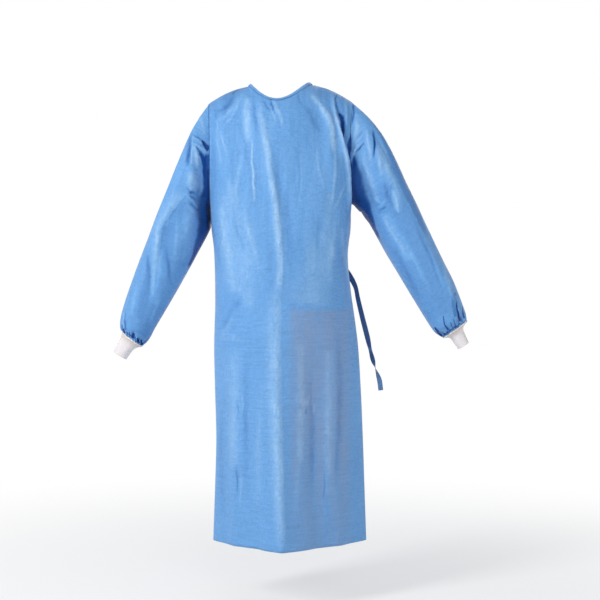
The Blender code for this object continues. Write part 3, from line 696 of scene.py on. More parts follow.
frontPanel = {
    "corners": (41, 23),                 # of the solid's outer skin, across and up
    "points": (264, 184),                # of the cloth
    "crowd": 0.4,                        # towards the shoulders
    "thickness": 0.0012,
    "seamFade": 0.008,
    "swell": ((0.0007, 0.028, 0.075, 3), (0.0012, 0.07, 0.12, 4)),
    "streaks": ((0.07, 0.0055, 0.055, 51), (0.08, 0.017, 0.11, 52)),
    "streaksEnd": (0.42, 0.60),
    "seamShade": 0.45,                   # along the top edge, over the width of the stitching
    "seamEdge": (0.0008, 0.0024),
    "backing": {
        "top": (0.582, 0.586),           # metres below the shoulders
        "left": (0.002, 0.046),
        "right": (0.165, 0.20),
        "fades": (0.75, 1.15),           # towards the hem, by
        "fading": 0.45,
        "even": 0.75,
        "bands": ((0.35, 0.017, 0.20, 11), (0.2, 0.006, 0.04, 12)),
        "strength": 0.75,
    },
    # all in millimetres: width, height (below 0 for a trough) and path of each fold, which is also
    # painted lighter on its ridge and darker in its trough; a pleat is raised on one side and sunk
    # on the other
    "folds": (
        # the long soft ridge left of the middle, and the press line that goes on from it
        (11, 4.5, (-62, -15), (-55, -66), (-49, -104), (-39, -152), (-30, -220), (-16, -304),
         (-8, -374), (-3, -455), (-8, -558)),
        (12, -1.6, (-16, -152), (-3, -234), (11, -320), (22, -401), (24, -471)),
        (15, 4.6, (-22, -530), (-20, -638), (-19, -774), (-14, -908), (-8, -1044), (-3, -1260)),
        # thin sharp ridges on the chest
        (2.4, 3.2, (-81, -117), (-80, -152), (-80, -185), (-77, -212), (-77, -244), (-73, -266),
         (-75, -296)),
        (2.8, 1.2, (92, -147), (102, -212), (116, -263)),
        (3.0, 1.9, (143, -134), (144, -180), (143, -228), (136, -304)),
        (2.6, 1.2, (173, -236), (157, -279), (138, -320)),
        # highlights that fall from the neck and the shoulders
        (9, 3.6, (-92, -4), (-96, -50), (-93, -115)),
        (6, -1.6, (-73, -23), (-72, -66), (-68, -109)),
        (9, 5.0, (81, -1), (97, -26), (119, -54), (135, -88), (142, -152)),
        (8, -2.0, (62, -28), (84, -66), (103, -109)),
        (4, 2.8, (-24, -12), (-16, -34), (-4, -61), (4, -93)),
        (3, 1.0, (-32, -34), (-22, -55), (-14, -82)),
        (3.0, -0.9, (43, -1), (47, -20), (59, -34)),
        (3.0, -1.3, (-54, -9), (-45, -28), (-32, -50)),
        (2.8, -1.6, (-32, -9), (-28, -28), (-19, -55)),
        (5, 2.0, (-105, 4), (-124, -28), (-154, -63), (-189, -80)),
        (4, 1.8, (-108, -9), (-122, -39), (-138, -66), (-159, -93)),
        (5, -1.2, (-124, -1), (-151, -36), (-184, -58)),
        (3, 1.2, (-178, -71), (-173, -88), (-181, -109)),
        (3, 1.5, (-165, -104), (-158, -136), (-146, -171)),
        (3, 1.2, (-180, -115), (-170, -152), (-163, -196)),
        (4, 1.4, (-108, -163), (-116, -212), (-123, -255), (-120, -309)),
        # over the ribs and the waist
        (9, 2.4, (-173, -301), (-157, -363), (-143, -439), (-132, -530)),
        (5, -1.3, (-132, -331), (-116, -385), (-97, -439)),
        (6, 1.8, (-105, -301), (-92, -363), (-70, -428), (-62, -490)),
        (3, 1.0, (-151, -374), (-165, -412), (-162, -455)),
        (9, -2.6, (-111, -547), (-135, -595), (-162, -638)),
        (7, 2.2, (-122, -568), (-146, -628), (-170, -668)),
        (5, 1.6, (-162, -666), (-135, -657), (-103, -674)),
        (9, 2.6, (159, -296), (143, -374), (130, -455), (132, -530)),
        (8, -1.6, (108, -325), (100, -396), (94, -471)),
        # long shallow flutes in the skirt
        (10, 2.2, (122, -720), (124, -854), (122, -962), (127, -1111)),
        (8, -2.0, (151, -638), (157, -774), (154, -908), (146, -1070)),
        (9, -1.8, (78, -768), (84, -908), (78, -1076)),
        (8, 1.6, (46, -666), (51, -806), (49, -962), (40, -1152)),
        (8, 1.6, (-135, -720), (-130, -854), (-138, -1016)),
        (8, -1.5, (-94, -692), (-100, -882), (-94, -1098)),
        (9, 1.8, (-54, -774), (-62, -936), (-65, -1124)),
        (8, -1.3, (-162, -828), (-165, -962), (-157, -1152)),
        # small crumples
        (2.4, 0.9, (35, -819), (51, -825), (65, -838)),
        (2.4, 0.9, (57, -841), (70, -830), (78, -811)),
        (2.2, 0.8, (78, -825), (86, -846), (84, -871)),
        (2.2, -0.8, (49, -838), (59, -854), (76, -865)),
        (2.2, -1.0, (-124, -822), (-119, -854), (-122, -884)),
        (2.2, 0.9, (-111, -806), (-105, -838), (-111, -876)),
        (2.2, -0.9, (-124, -1006), (-119, -1044), (-122, -1087)),
        (2.2, 0.8, (-113, -1016), (-111, -1060), (-113, -1119)),
        (2.2, -0.8, (113, -1016), (116, -1054), (111, -1098)),
        # the armhole edges, turned and pressed
        (1.6, 0.9, (-201, -28), (-199, -152), (-195, -242), (-187, -358)),
        # the drape edge that hangs over the right armhole
        (5, 5.0, (135, 4), (139, -34), (150, -77), (162, -117), (174, -171), (181, -234),
         (184, -320)),
        (4, 2.0, (170, -9), (173, -50), (177, -93)),
    ),
    "pleats": (
        (4, 1.0, (49, -152), (51, -220), (46, -298)),
        (6, 1.6, (176, -374), (170, -455), (178, -558)),
    ),
    # painted highlights on lit ridges: strength, steepness and path, with its reach to the left and
    # right at each stop
    "pale": (
        (0.50, 4, (-65, -12, 6, 6), (-57, -66, 9, 9), (-49, -104, 9, 7), (-38, -158, 9, 7),
         (-28, -234, 9, 6), (-16, -304, 10, 6), (-9, -368, 12, 6), (-3, -455, 10, 6),
         (-8, -558, 12, 5)),
        (0.42, 3, (-92, -12, 7, 7), (-94, -71, 10, 9), (-93, -134, 7, 7)),
        (0.34, 3, (-7, -509, 18, 3), (-5, -638, 36, 3), (-4, -828, 34, 3), (0, -1016, 26, 3),
         (8, -1238, 18, 3)),
        (0.45, 3, (73, 1, 5, 5), (97, -26, 6, 6), (116, -53, 7, 6), (132, -88, 7, 6),
         (140, -163, 4, 4)),
        (0.38, 2, (-154, -260, 8, 10), (-157, -355, 16, 20), (-140, -439, 24, 30),
         (-124, -547, 22, 30)),
        (0.30, 2, (-146, -217, 3, 3), (-132, -293, 22, 26), (-122, -374, 38, 44),
         (-113, -455, 40, 42), (-97, -530, 26, 24), (-81, -590, 6, 6)),
        (0.30, 2, (130, -260, 8, 8), (124, -355, 14, 12), (135, -455, 8, 8)),
        (0.35, 2, (162, -358, 5, 3), (167, -422, 6, 3), (176, -482, 4, 3)),
        (0.34, 2, (113, -358, 8, 8), (100, -444, 34, 30), (81, -579, 56, 46)),
        (0.30, 2, (54, -666, 8, 4), (57, -828, 9, 5), (51, -1016, 8, 5)),
        (0.25, 2, (124, -679, 6, 10), (124, -854, 6, 12), (124, -1044, 6, 10)),
        (0.25, 2, (-124, -679, 20, 10), (-124, -828, 18, 12), (-130, -1016, 12, 12)),
    ),
    # depth, steepness of the painted shade's edge, darkness of the painted shade and path, with the
    # same reach
    "hollowsAndShade": (
        (0, 2, 0.10, (-97, 26, 30, 30), (-154, -28, 40, 40), (-184, -98, 30, 30)),
        (0, 2, 0.16, (97, 20, 20, 20), (173, -39, 30, 30), (184, -98, 20, 20)),
        (2, 2, 0.45, (-117, 12, 2, 2), (-127, 5, 4, 3), (-136, -1, 2, 2)),
        (9, 2, 0.55, (150, 7, 1.5, 2), (141, -18, 1.2, 5), (147, -42, 1.2, 9),
         (154, -69, 1.2, 15), (165, -115, 1.2, 10), (176, -161, 1.2, 4), (182, -196, 1.2, 3)),
        (0, 4, 0.9, (182, -117, 1, 8), (179, -136, 3, 8), (177, -152, 4, 8), (179, -171, 1, 8)),
        (20, 4, 1.0, (151, -50, 1.2, 3), (158, -66, 1.2, 10), (161, -90, 1.2, 10),
         (166, -120, 1.2, 3)),
    ),
}


def waistBacking(x, z, facts):
    # the doubled cloth, strongest right of the centre and just below its top edge
    below = ease(-z, *facts["top"])
    right = ease(x, *facts["left"]) * (1 - ease(x, *facts["right"]))
    fading = 1 - facts["fading"] * ease(-z, *facts["fades"])
    bands = facts["even"] + uneven(x, z, facts["bands"])
    return np.clip(below * right * fading * bands, 0, 1) * facts["strength"], below


def frontPiece(facts):
    base, out = readCloth("front", facts)
    x, z = rumpled(*onPaper(base))
    run = weaveRun(base, out)
    rise, tone = foldRise(x, z, facts)
    rise += uneven(run[..., 0], run[..., 1], facts["swell"])
    depth, shade = hollowDepth(x, z, facts["hollowsAndShade"])
    held = heldAt(base, facts["seamFade"], ((0, False), (0, True), (1, True)))
    places = shaped(base, out, rise * held, depth * held)
    backing, below = waistBacking(x, z, facts["backing"])
    pale = highlightShare(x, z, facts["pale"]) * mottle(x, z)
    turned = ease(runFrom(base, 1, True), *facts["seamEdge"])
    chest = 1 - ease(-z, *facts["streaksEnd"])
    # painted highlights added to the folds' painted light and shade
    tone = tone * mottle(x, z) + pale + uneven(x, z, facts["streaks"]) * chest
    # painted shade of the hollows and along the top edge
    tone = np.clip(tone - shade - facts["seamShade"] * (1 - turned), *marks["toneRange"])
    return clothPiece("front_cloth", places, run, facts["thickness"], frontCloth,
                      folds=tone, backing=backing, doubled=below), base


front, frontBase = frontPiece(frontPanel)
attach(front, "root")
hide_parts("front")
print("front panel")


backPanels = {
    "corners": (24, 23),
    "points": (150, 190),
    "thickness": 0.0012,
    "seamFade": 0.008,
    "swell": ((0.0014, 0.05, 0.11, 41),),
    "tone": (0.5, 0.3),                  # evenly, and by how mottled the cloth is
    "folds": (
        # from the shoulders and the armholes
        (12, 5.0, (-120, -60), (-97, -160), (-90, -260), (-97, -350)),
        (10, -3.5, (-92, -60), (-72, -170), (-66, -265)),
        (11, 4.6, (114, -50), (96, -150), (85, -250), (92, -335)),
        (10, -3.2, (86, -60), (66, -170), (60, -275)),
        (3, 2.2, (-58, -86), (-51, -150), (-52, -208)),
        (3, 1.8, (50, -100), (44, -165), (47, -225)),
        (4, 1.6, (-12, -70), (-6, -150), (-10, -240)),
        (4, 1.8, (-160, -180), (-140, -240), (-132, -300)),
        (4, 1.6, (156, -170), (140, -225), (133, -280)),
        (4, -1.6, (148, -190), (128, -250), (118, -300)),
        # the waist, drawn in from the tie's seam
        (6, 3.0, (158, -446), (100, -436), (34, -450), (-44, -468)),
        (7, -3.2, (158, -466), (92, -462), (26, -480), (-20, -496)),
        (6, 2.4, (156, -478), (104, -500), (52, -534)),
        (5, -1.8, (150, -500), (112, -524), (78, -560)),
        (5, 2.0, (-164, -452), (-120, -466), (-70, -462)),
        (6, -1.8, (-160, -478), (-118, -492), (-84, -488)),
        # long flutes in the skirt
        (15, 9.0, (-112, -505), (-120, -700), (-126, -900), (-134, -1420)),
        (15, -8.0, (-76, -490), (-80, -700), (-84, -900), (-88, -1420)),
        (13, 6.5, (-38, -560), (-42, -800), (-46, -1000), (-50, -1420)),
        (13, -6.5, (12, -600), (8, -850), (10, -1420)),
        (15, 8.5, (54, -540), (60, -760), (66, -1000), (70, -1420)),
        (15, -7.5, (96, -505), (102, -760), (110, -1420)),
        (15, 8.0, (140, -535), (148, -800), (154, -1420)),
        (5, 1.6, (-150, -620), (-156, -800), (-154, -960)),
        (4, 1.4, (30, -690), (33, -790), (30, -880)),
        (4, -1.4, (-20, -900), (-17, -1000), (-21, -1100)),
        (4, 1.2, (84, -860), (86, -960), (82, -1060)),
    ),
    "pleats": (
        (7, 2.6, (-172, -245), (-134, -300), (-104, -375), (-98, -450)),
        (7, 2.6, (170, -250), (132, -310), (106, -385), (98, -440)),
    ),
}


def backPanel(side, facts):
    base, out = readCloth(side, facts)
    x, z = rumpled(base[..., 0], base[..., 2])
    rise, tone = foldRise(x, z, facts)
    rise += uneven(x, z, facts["swell"])
    seamFirst = abs(base[0, 0, 0]) > abs(base[-1, 0, 0])      # the lap edge stays loose
    held = heldAt(base, facts["seamFade"], ((0, not seamFirst), (1, True)))
    evenly, mottled = facts["tone"]
    tone = tone * (evenly + mottled * mottle(x, z))
    return clothPiece(side + "_cloth", shaped(base, out, rise * held), weaveRun(base, out),
                      facts["thickness"], blueCloth, folds=tone), base


for side in ("back_left", "back_right"):
    panel, base = backPanel(side, backPanels)
    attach(panel, "root")
    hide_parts(side)
print("back panels")


sleeves = {
    "corners": (40, 17),                 # round and down
    "points": (220, 220),
    "thickness": 0.0012,
    "seamFades": (0.012, 0.006),         # at the armhole and at the wrist
    "swell": ((0.0010, 0.05, 0.08, 7),),
    "girth": 0.4,                        # of the swell's pattern round the arm
    "facesFront": (-0.3, 0.1),           # where the cloth faces to carry the folds in front
    "facesBack": (-0.15, 0.25),          # and those behind
    "mirrored": -1.1,                    # the right sleeve lies a little further out
    "pressed": 0.0035,                   # under the arm the cloth rests against the body
    "restsFrom": (0.294, 0.306),
    "restsTo": (0.332, 0.352),
    "restsInward": (0.3, 0.8),
    "restsBehind": (0.0, 0.03),
    "outerSide": (-0.2, 0.3),            # shade stays off the outer side
    "shadeSide": (-0.2, 0.12),
    "shadeBack": (-0.7, -0.3),           # and off the back
    "tuckFrom": 0.006,
    "tuckFade": 0.35,                    # a tuck fades from this share of its length
    "tuckShade": 0.17,
    "usualTuck": 2.8,                    # deeper tucks lean one way, shallower ones the other
    "tuckLean": 0.25,
    "gathered": 0.055,                   # the cloth is darker over this length
    "gatheredShade": 0.22,
    "gatheredLight": 0.25,               # but lighter over its last share, at the stitching
    "gatheredFrom": 0.7,
    "tucks": (
        # turn round the wrist from under the arm, width, depth, length
        (0.015, 3.2, 3.2, 30), (0.065, 2.6, 2.4, 20), (0.115, 3.0, 3.0, 26), (0.160, 2.6, 2.2, 17),
        (0.205, 3.0, 3.4, 32), (0.255, 2.6, 2.6, 20), (0.300, 2.8, 2.8, 26), (0.352, 3.0, 3.6, 36),
        (0.410, 2.8, 2.6, 22), (0.462, 3.2, 3.4, 34), (0.520, 2.8, 2.8, 24), (0.575, 3.0, 3.2, 30),
        (0.632, 2.6, 2.4, 18), (0.685, 3.0, 3.4, 34), (0.742, 2.8, 2.6, 24), (0.798, 3.0, 3.0, 28),
        (0.850, 2.6, 2.4, 20), (0.905, 3.0, 3.2, 30), (0.955, 2.8, 2.6, 22),
    ),
    "behind": {
        "folds": (
            (8, 4.0, (-212, -100), (-238, -190), (-284, -296)),
            (7, -3.6, (-204, -180), (-224, -262), (-262, -346)),
            (4, 2.0, (-206, -216), (-216, -248), (-236, -276)),
            (4, -3.0, (-306, -326), (-268, -356), (-240, -398)),
            (5, 3.0, (-320, -356), (-290, -384), (-258, -430)),
            (4, -2.4, (-334, -386), (-308, -412), (-282, -456)),
            (5, 2.2, (-346, -410), (-326, -438), (-302, -470)),
            (8, 2.6, (-362, -446), (-382, -520), (-398, -604)),
            (7, -2.2, (-332, -478), (-356, -556), (-376, -622)),
        ),
        "pleats": (
            (5, 2.6, (-200, -140), (-216, -168), (-238, -180)),
        ),
    },
}

leftSleeve = {
    "folds": (
        # creases that run out from the corner where the sleeve folds against the armhole
        (2.2, -1.2, (-246, -107), (-224, -121), (-205, -136)),
        (2.4, 1.2, (-243, -115), (-224, -128), (-208, -140)),
        (2.6, 1.9, (-239, -134), (-225, -140), (-213, -152), (-201, -169)),
        (3, 0.84, (-227, -50), (-213, -82), (-202, -115)),
        (6, -3.4, (-246, -109), (-252, -152), (-255, -198)),
        (2.4, 1.08, (-239, -109), (-242, -152), (-246, -198)),
        (5, 2.55, (-236, -134), (-230, -169), (-228, -209)),
        # the full part above the elbow, creased round its foot
        (14, 3.0, (-251, -204), (-236, -228), (-232, -263)),
        (2.2, -0.96, (-258, -209), (-240, -211), (-223, -202)),
        (2.2, -1.5, (-261, -251), (-252, -259), (-246, -269), (-231, -270)),
        (2.0, -1.2, (-248, -262), (-242, -266), (-236, -266)),
        (2.2, 1.3, (-267, -270), (-256, -273), (-248, -282), (-236, -296), (-227, -312)),
        (3, -1.5, (-251, -272), (-240, -282), (-226, -290)),
        (2.2, -1.08, (-251, -293), (-238, -304), (-225, -317)),
        (3, 0.96, (-256, -293), (-248, -309), (-232, -328)),
        # the long crease that slants down to the elbow, and the soft ones under it
        (2.6, -1.02, (-256, -271), (-286, -309), (-312, -346), (-324, -367), (-325, -412),
         (-332, -455)),
        (6, 1.7, (-270, -266), (-300, -306), (-327, -344), (-336, -374), (-338, -422),
         (-346, -530)),
        (3, 0.66, (-312, -358), (-305, -347), (-292, -344)),
        (5, -1.53, (-363, -433), (-356, -490), (-354, -547)),
        (4, 1.19, (-325, -422), (-328, -471), (-338, -536)),
        (5, -1.44, (-316, -406), (-308, -455), (-300, -520)),
        (6, 1.36, (-281, -325), (-284, -385), (-289, -455)),
        (6, -1.1, (-265, -347), (-265, -396), (-275, -460)),
        (5, 1.27, (-392, -509), (-400, -558), (-408, -606)),
        (5, 1.1, (-329, -552), (-346, -595), (-359, -633)),
    ),
    "pleats": (
        (3, 1.1, (-248, -215), (-234, -214), (-223, -217)),
    ),
    # depth, steepness of the painted shade's edge, darkness of the painted shade and path; many are
    # painted shade alone
    "hollowsAndShade": (
        (1, 3, 0.5, (-423, -590, 1, 1), (-424, -617, 2, 2), (-422, -641, 2, 2)),
        (2, 3, 1.3, (-430, -633, 1, 1), (-425, -648, 4, 3)),
        (2, 3, 1.2, (-421, -643, 1, 1), (-416, -654, 3, 3)),
        (2, 3, 1.2, (-413, -645, 1, 1), (-410, -658, 3, 3)),
        (2, 3, 1.4, (-399, -648, 2, 2), (-404, -662, 4, 4)),
        (2, 3, 1.1, (-397, -656, 1, 1), (-395, -668, 2, 2)),
        (2, 3, 1.2, (-391, -660, 2, 2), (-387, -675, 3, 3)),
        (2, 3, 1.2, (-382, -663, 2, 2), (-379, -679, 4, 4)),
        (0, 2, 0.10, (-297, -385, 50, 50), (-346, -504, 60, 60), (-389, -638, 50, 50)),
        (0, 2, 0.22, (-346, -563, 16, 30), (-367, -617, 26, 34), (-386, -655, 22, 20)),
        (0, 5, 0.18, (-259, -279, 2, 24), (-300, -333, 2, 36), (-321, -368, 2, 40),
         (-327, -428, 2, 34), (-336, -504, 2, 34), (-343, -558, 2, 22)),
        (0, 5, 0.22, (-362, -428, 1, 1), (-366, -490, 8, 8), (-371, -558, 18, 15),
         (-381, -622, 18, 18)),
        (4, 4, 1.35, (-215, -127, 1, 1), (-210, -138, 4, 6), (-206, -147, 3, 12),
         (-202, -155, 1, 12)),
        (0, 6, 0.9, (-233, -140, 1, 1), (-223, -157, 3, 4), (-215, -174, 5, 6),
         (-209, -196, 8, 12)),
        (7, 12, 0.92, (-204, -158, 2, 30), (-201, -174, 11, 30), (-200, -190, 17, 30),
         (-198, -206, 17, 30), (-196, -228, 18, 30), (-194, -250, 19, 30), (-193, -263, 24, 30),
         (-192, -277, 32, 30), (-192, -288, 34, 30)),
        (7, 12, 0.80, (-193, -260, 20, 30), (-192, -279, 33, 30), (-191, -293, 36, 30),
         (-189, -309, 40, 30), (-188, -331, 38, 30), (-192, -352, 36, 30), (-205, -385, 27, 30),
         (-219, -412, 19, 30), (-235, -441, 10, 30), (-254, -476, 4, 30)),
        (7, 3, 1.35, (-198, -190, 6, 30), (-196, -223, 12, 30), (-192, -277, 15, 30),
         (-188, -320, 22, 30), (-194, -352, 14, 30), (-202, -374, 5, 30)),
    ),
    # painted highlights: strength, steepness and path, with its reach to the left and right at each
    # stop
    "pale": (
        (0.42, 3, (-232, -134, 6, 8), (-230, -174, 10, 9), (-230, -212, 8, 6)),
        (0.38, 6, (-240, -204, 15, 20), (-236, -234, 21, 24), (-235, -266, 21, 14)),
        (0.20, 6, (-246, -298, 18, 12), (-248, -352, 24, 18), (-256, -406, 24, 16),
         (-270, -460, 20, 8)),
        (0.42, 4, (-333, -368, 6, 6), (-340, -422, 10, 7), (-347, -490, 9, 7), (-351, -552, 6, 4)),
        (0.24, 5, (-262, -269, 26, 3), (-302, -328, 34, 3), (-325, -366, 30, 3),
         (-327, -422, 26, 3), (-338, -493, 20, 3)),
        (0.45, 3, (-427, -590, 2, 2), (-430, -638, 2, 2)),
        (0.5, 3, (-414, -647, 1, 1), (-413, -657, 2, 2)),
        (0.5, 3, (-394, -655, 1, 1), (-392, -668, 2, 2)),
        (0.4, 3, (-384, -660, 1, 1), (-383, -674, 2, 2)),
        (0.20, 2, (-221, -34, 8, 12), (-221, -77, 8, 14), (-213, -115, 6, 8)),
    ),
}

rightSleeve = {
    "folds": (
        (3.0, 3.4, (221, -128), (202, -144), (192, -166), (184, -190)),
        (2.4, -2.6, (223, -132), (208, -147), (197, -161)),
        (6, 2.4, (202, -61), (205, -98), (197, -131)),
        (3, -2.2, (192, -20), (193, -50), (189, -88)),
        (6, 2.2, (216, -158), (224, -196), (240, -244), (259, -298)),
        (2.8, -3.6, (247, -98), (250, -136), (246, -177)),
        (5, 3.0, (227, -88), (234, -142), (240, -196)),
        (5, 2.6, (259, -147), (263, -190), (267, -228)),
        (7, 3.5, (265, -126), (286, -201), (310, -255), (324, -320)),
        (7, -2.0, (275, -234), (284, -271), (300, -309)),
        (4, 2.6, (302, -255), (308, -288), (315, -323)),
        (2.6, 1.2, (251, -277), (256, -290), (270, -296)),
        (2.6, 1.2, (256, -309), (267, -304), (278, -288)),
        (2.4, -1.2, (259, -317), (270, -312), (281, -304)),
        (4, 1.5, (267, -325), (294, -374), (335, -433)),
        (6, 1.6, (324, -385), (362, -455), (400, -536)),
        (7, -1.4, (297, -412), (335, -482), (373, -558)),
        (4, 1.6, (427, -439), (451, -525), (470, -571)),
    ),
    "pleats": (
        (3, 1.6, (221, -104), (205, -123), (194, -139)),
        (6, 1.4, (367, -358), (405, -439), (437, -530)),
    ),
    # depth, steepness of the painted shade's edge, darkness of the painted shade and path; many are
    # painted shade alone
    "hollowsAndShade": (
        (0, 2, 0.16, (265, -234, 50, 50), (332, -385, 50, 50), (394, -504, 60, 60),
         (443, -617, 50, 50)),
        (3, 3, 1.4, (471, -558, 0.5, 0.5), (473, -582, 2.4, 2.4), (481, -616, 3, 3)),
        (2, 3, 0.9, (485, -574, 0.5, 0.5), (491, -609, 3, 4)),
        (2, 3, 1.4, (410, -630, 0.5, 2), (420, -643, 2.5, 4), (432, -656, 3, 3)),
        (2, 3, 0.9, (436, -598, 0.5, 0.5), (439, -620, 2.4, 2), (450, -641, 1.5, 1.5)),
        (2, 3, 0.6, (455, -617, 0.5, 0.5), (462, -636, 2, 2)),
        (2, 3, 0.6, (463, -607, 0.5, 0.5), (470, -629, 2, 2)),
        (0, 2, 0.8, (433, -653, 4, 2), (451, -642, 2, 2), (473, -627, 2, 2), (483, -619, 1, 1)),
        (0, 8, 0.34, (221, -23, 7, 30), (254, -71, 12, 30), (281, -120, 14, 30),
         (305, -180, 16, 30), (329, -244, 14, 24), (356, -309, 8, 14), (394, -396, 3, 6)),
        (0, 6, 0.42, (471, -536, 3, 3), (461, -549, 5, 10), (462, -574, 5, 10), (470, -606, 6, 3)),
        (10, 6, 1.35, (184, -104, 30, 2), (182, -126, 30, 5), (180, -152, 30, 8),
         (177, -177, 30, 3)),
        (14, 10, 0.86, (184, -152, 40, 12), (184, -180, 40, 17), (184, -206, 40, 25),
         (185, -234, 40, 34), (186, -260, 40, 41), (189, -285, 40, 46), (211, -309, 40, 32),
         (232, -339, 40, 17), (251, -371, 40, 6), (267, -404, 40, 4)),
        (14, 3, 1.3, (184, -185, 40, 9), (186, -234, 40, 16), (189, -277, 40, 26),
         (208, -306, 40, 12)),
    ),
    # painted highlights: strength, steepness and path, with its reach to the left and right at each
    # stop
    "pale": (
        (0.20, 3, (216, -152, 5, 8), (230, -201, 8, 10), (256, -293, 8, 10)),
        (0.36, 4, (297, -255, 2, 3), (306, -293, 9, 5), (315, -325, 2, 2)),
        (0.28, 2, (200, -50, 6, 10), (202, -93, 8, 12), (189, -142, 4, 8)),
        (0.30, 2, (259, -131, 6, 5), (275, -193, 8, 5), (294, -250, 8, 4)),
        (0.30, 2, (275, -320, 8, 12), (308, -385, 10, 14), (346, -455, 8, 10)),
    ),
}


def wristTucks(turn, left, girth, facts):
    # short uneven pleats where the sleeve end is gathered into the piping
    rise, tone = np.zeros_like(left), np.zeros_like(left)
    for place, width, deep, length in facts["tucks"]:
        away = (turn - place + 0.5) % 1 - 0.5
        lean = (deep - facts["usualTuck"]) * facts["tuckLean"] * left
        across = (away * girth + lean) / (width / 1000)
        full = length / 1000
        ends = ease(left, 0, facts["tuckFrom"]) * (1 - ease(left, facts["tuckFade"] * full, full))
        shape = np.exp(-across ** 2) * ends
        rise -= deep / 1000 * shape
        tone -= facts["tuckShade"] * deep * shape
    near = 1 - ease(left, 0, facts["gathered"])
    light = facts["gatheredLight"] * ease(near, facts["gatheredFrom"], 1)
    return rise, tone + light - facts["gatheredShade"] * near


def mirroredFolds(facts):
    # the folds behind the left sleeve, drawn for the right one
    return {kind: [(width, height, *((x * facts["mirrored"], z) for x, z in path))
                   for width, height, *path in rows] for kind, rows in facts["behind"].items()}


def restedPart(base, out, inward, facts):
    # where the underside of the arm lies against the body
    low = ease(-base[..., 2], *facts["restsFrom"]) * (1 - ease(-base[..., 2], *facts["restsTo"]))
    facesBody = ease(out[..., 0] * inward, *facts["restsInward"])
    return facts["pressed"] * low * facesBody * ease(base[..., 1], *facts["restsBehind"])


def sleeveCloth(side, facts):
    base, out = readCloth(side, facts, True)
    x, z = rumpled(*onPaper(base))
    front = ease(-out[..., 1], *facts["facesFront"])
    rear = ease(out[..., 1], *facts["facesBack"])
    rise, tone = foldRise(x, z, facts)
    depth, shade = hollowDepth(x, z, facts["hollowsAndShade"])
    reach, left = runFrom(base, 1), runFrom(base, 1, True)
    held = ease(reach, 0, facts["seamFades"][0]) * ease(left, 0, facts["seamFades"][1])
    arm = base[:, -1].mean(axis=0) - base[:, 0].mean(axis=0)
    turn = np.arange(len(base))[:, None] / len(base) + 0 * reach
    if base[len(base) // 4, 0, 1] > base[3 * len(base) // 4, 0, 1]:
        turn = (1 - turn) % 1
    girth = np.linalg.norm(np.diff(base[:, -1], axis=0), axis=1).sum()
    tuckRise, tuckTone = wristTucks(turn, left, girth, facts)
    behind = facts["behind"] if base[..., 0].mean() < 0 else mirroredFolds(facts)
    rearRise, rearTone = foldRise(base[..., 0], base[..., 2], behind)
    rise = rise * front + rearRise * rear + uneven(turn * facts["girth"], reach, facts["swell"])
    places = shaped(base, out, rise * held + tuckRise, depth * held)
    inward = -np.sign(base[..., 0])
    places[..., 0] += inward * restedPart(base, out, inward, facts)
    outer = ease(-out[..., 0] * inward, *facts["outerSide"])
    shade = shade * (1 - (1 - ease(-out[..., 1], *facts["shadeSide"])) * outer)
    shade = shade * ease(-out[..., 1], *facts["shadeBack"])
    pale = highlightShare(x, z, facts["pale"])
    # painted highlights on the front-facing cloth
    tone = (tone + pale) * mottle(x, z) * front + rearTone * rear
    # painted shade of the hollows and of the wrist's tucks
    tone = np.clip(tone - shade + tuckTone, *marks["toneRange"])
    return clothPiece(side + "_cloth", places, weaveRun(base, out, True, -arm), facts["thickness"],
                      blueCloth, True, folds=tone), base


for side, ownFolds in (("sleeve_left", leftSleeve), ("sleeve_right", rightSleeve)):
    sleeve, base = sleeveCloth(side, {**sleeves, **ownFolds})
    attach(sleeve, "root")
    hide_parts(side)
print("sleeves")


cuffs = {
    "corners": (28, 5),                  # round and down
    "points": (112, 40),
    "thickness": 0.0018,
    "shadow": 0.75,
    "shadowLength": 0.020,
    "endShadow": 0.12,
    "endFrom": (0.045, 0.06),
    "ripple": ((0.0007, 0.012, 0.03, 31),),
    "rippleFrom": (0.004, 0.02),
    "tucked": 0.0012,                    # the knit goes in under the piping
}


def cuffPiece(side, facts):
    base, out = readCloth("cuff_" + side, facts, True)
    arm = base[:, -1].mean(axis=0) - base[:, 0].mean(axis=0)
    fromPiping = runFrom(base, 1)
    shadow = facts["shadow"] * (1 - ease(fromPiping, 0, facts["shadowLength"]))
    shadow += facts["endShadow"] * ease(fromPiping, *facts["endFrom"])
    ripple = uneven(runFrom(base, 0), fromPiping, facts["ripple"])
    knit = shaped(base, out, ripple * ease(fromPiping, *facts["rippleFrom"]))
    knit[:, 0] -= arm / np.linalg.norm(arm) * facts["tucked"]
    return clothPiece("cuff_" + side + "_knit", knit, weaveRun(base, out, True, -arm),
                      facts["thickness"], cuffKnit, True, folds=shadow)


pipings = {
    "cuts": 28,                          # of the solid's ring, each with so many corners
    "corners": 5,
    "thickness": 0.0040,
    "stops": 140,
    "waviness": 0.0003,
    "waves": ((1.0, 9, 0), (0.6, 14, 1), (0.5, 23, 2)),      # share, waves round the wrist, start
}


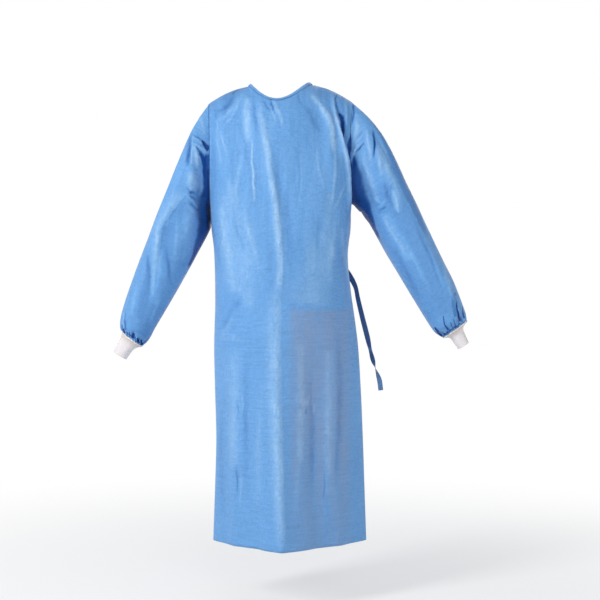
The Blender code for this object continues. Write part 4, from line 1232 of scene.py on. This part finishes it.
def pipingCord(side, facts):
    # a round cord along the middle line of the solid's ring, a little wavy
    ring = mergedCopy("piping_" + side)
    corners = np.array([tuple(vert.co) for vert in ring.verts])
    ring.free()
    middle = corners.mean(axis=0)
    axes = np.linalg.svd(corners - middle)[2]
    flat = (corners - middle) @ axes.T
    order = np.argsort(np.arctan2(flat[:, 1], flat[:, 0]))
    line = corners[order].reshape(facts["cuts"], facts["corners"], 3).mean(axis=1)
    line = alongRows(line, facts["stops"], True)
    along = np.linspace(0, 2 * math.pi, facts["stops"], endpoint=False)
    wave = sum(share * np.sin(times * along + start) for share, times, start in facts["waves"])
    line = line + axes[2] * (facts["waviness"] * wave)[:, None]
    data = bpy.data.curves.new("piping_" + side + "_cord", "CURVE")
    data.dimensions = "3D"
    data.bevel_depth = facts["thickness"] / 2
    data.bevel_resolution = 3
    spline = data.splines.new("POLY")
    spline.points.add(len(line) - 1)
    for point, place in zip(spline.points, line):
        point.co = (*place, 1)
    spline.use_cyclic_u = True
    data.materials.append(pipingTape)
    piping = bpy.data.objects.new("piping_" + side + "_cord", data)
    bpy.context.collection.objects.link(piping)
    return piping


for side in ("left", "right"):
    cuff = cuffPiece(side, cuffs)
    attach(cuff, "root")
    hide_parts("cuff_" + side)
    piping = pipingCord(side, pipings)
    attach(piping, "root")
    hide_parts("piping_" + side)
print("cuffs and piping")


neckBinding = {
    "corners": (27, 3),
    "points": (220, 16),
    "thickness": 0.0018,
    "bulge": 0.0008,
    "roundness": 0.6,
    "proud": 0.0005,
    "overlap": 0.0014,                   # it is sewn over the panels' top edge
    "light": 0.28,
    "lightFrom": (0.25, 1.0),
    "seam": 0.6,
    "seamTo": (0.12, 0.24),
    "stitch": 0.0032,
}


def bindingPiece(facts):
    base, out = readCloth("neck_binding", facts)
    over = np.linspace(0, 1, base.shape[1])[None, :]
    stitches = 0.5 + 0.5 * np.sin(runFrom(base, 0) * 2 * math.pi / facts["stitch"])
    up = base[:, 1:2] - base[:, :1]
    up = up / np.linalg.norm(up, axis=2, keepdims=True)
    lift = facts["proud"] + facts["bulge"] * np.sin(np.pi * over) ** facts["roundness"]
    rounded = shaped(base, out, lift) - up * (facts["overlap"] * (1 - over))[..., None]
    seen = facts["light"] * np.sin(np.pi * ease(over, *facts["lightFrom"]))
    seen = seen - facts["seam"] * (1 - ease(over, *facts["seamTo"])) * stitches
    return clothPiece("neck_binding_cloth", rounded, weaveRun(base, out), facts["thickness"],
                      blueCloth, folds=seen), base


binding, bindingBase = bindingPiece(neckBinding)
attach(binding, "root")
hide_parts("neck_binding")

waistTie = {
    "corners": (31, 2),
    "points": (240, 8),
    "rim": 0.0014,                       # its wall is thinner than the others
    "thickness": 0.001,
    "paleEnd": 0.45,                     # painted light where the end turns its other, lit face out
    "endFrom": (0.750, 0.775),
    # a painted highlight across the twist
    "twistHighlight": 0.5,
    "twistAt": 0.692,
    "twistLength": 0.006,
}


def tiePiece(facts):
    base, out = readCloth("waist_tie", facts)
    drop = -base[..., 2]
    twisted = np.exp(-((drop - facts["twistAt"]) / facts["twistLength"]) ** 2)
    # painted light on the tie: its lit end and a painted highlight at the twist
    paintedTieLight = facts["paleEnd"] * ease(drop, *facts["endFrom"]) + facts["twistHighlight"] * twisted
    return clothPiece("waist_tie_cloth", base, weaveRun(base, out), facts["thickness"],
                      shadedTieCloth, folds=paintedTieLight), base


tie, tieBase = tiePiece(waistTie)
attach(tie, "root")
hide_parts("waist_tie")
print("neck binding and tie")
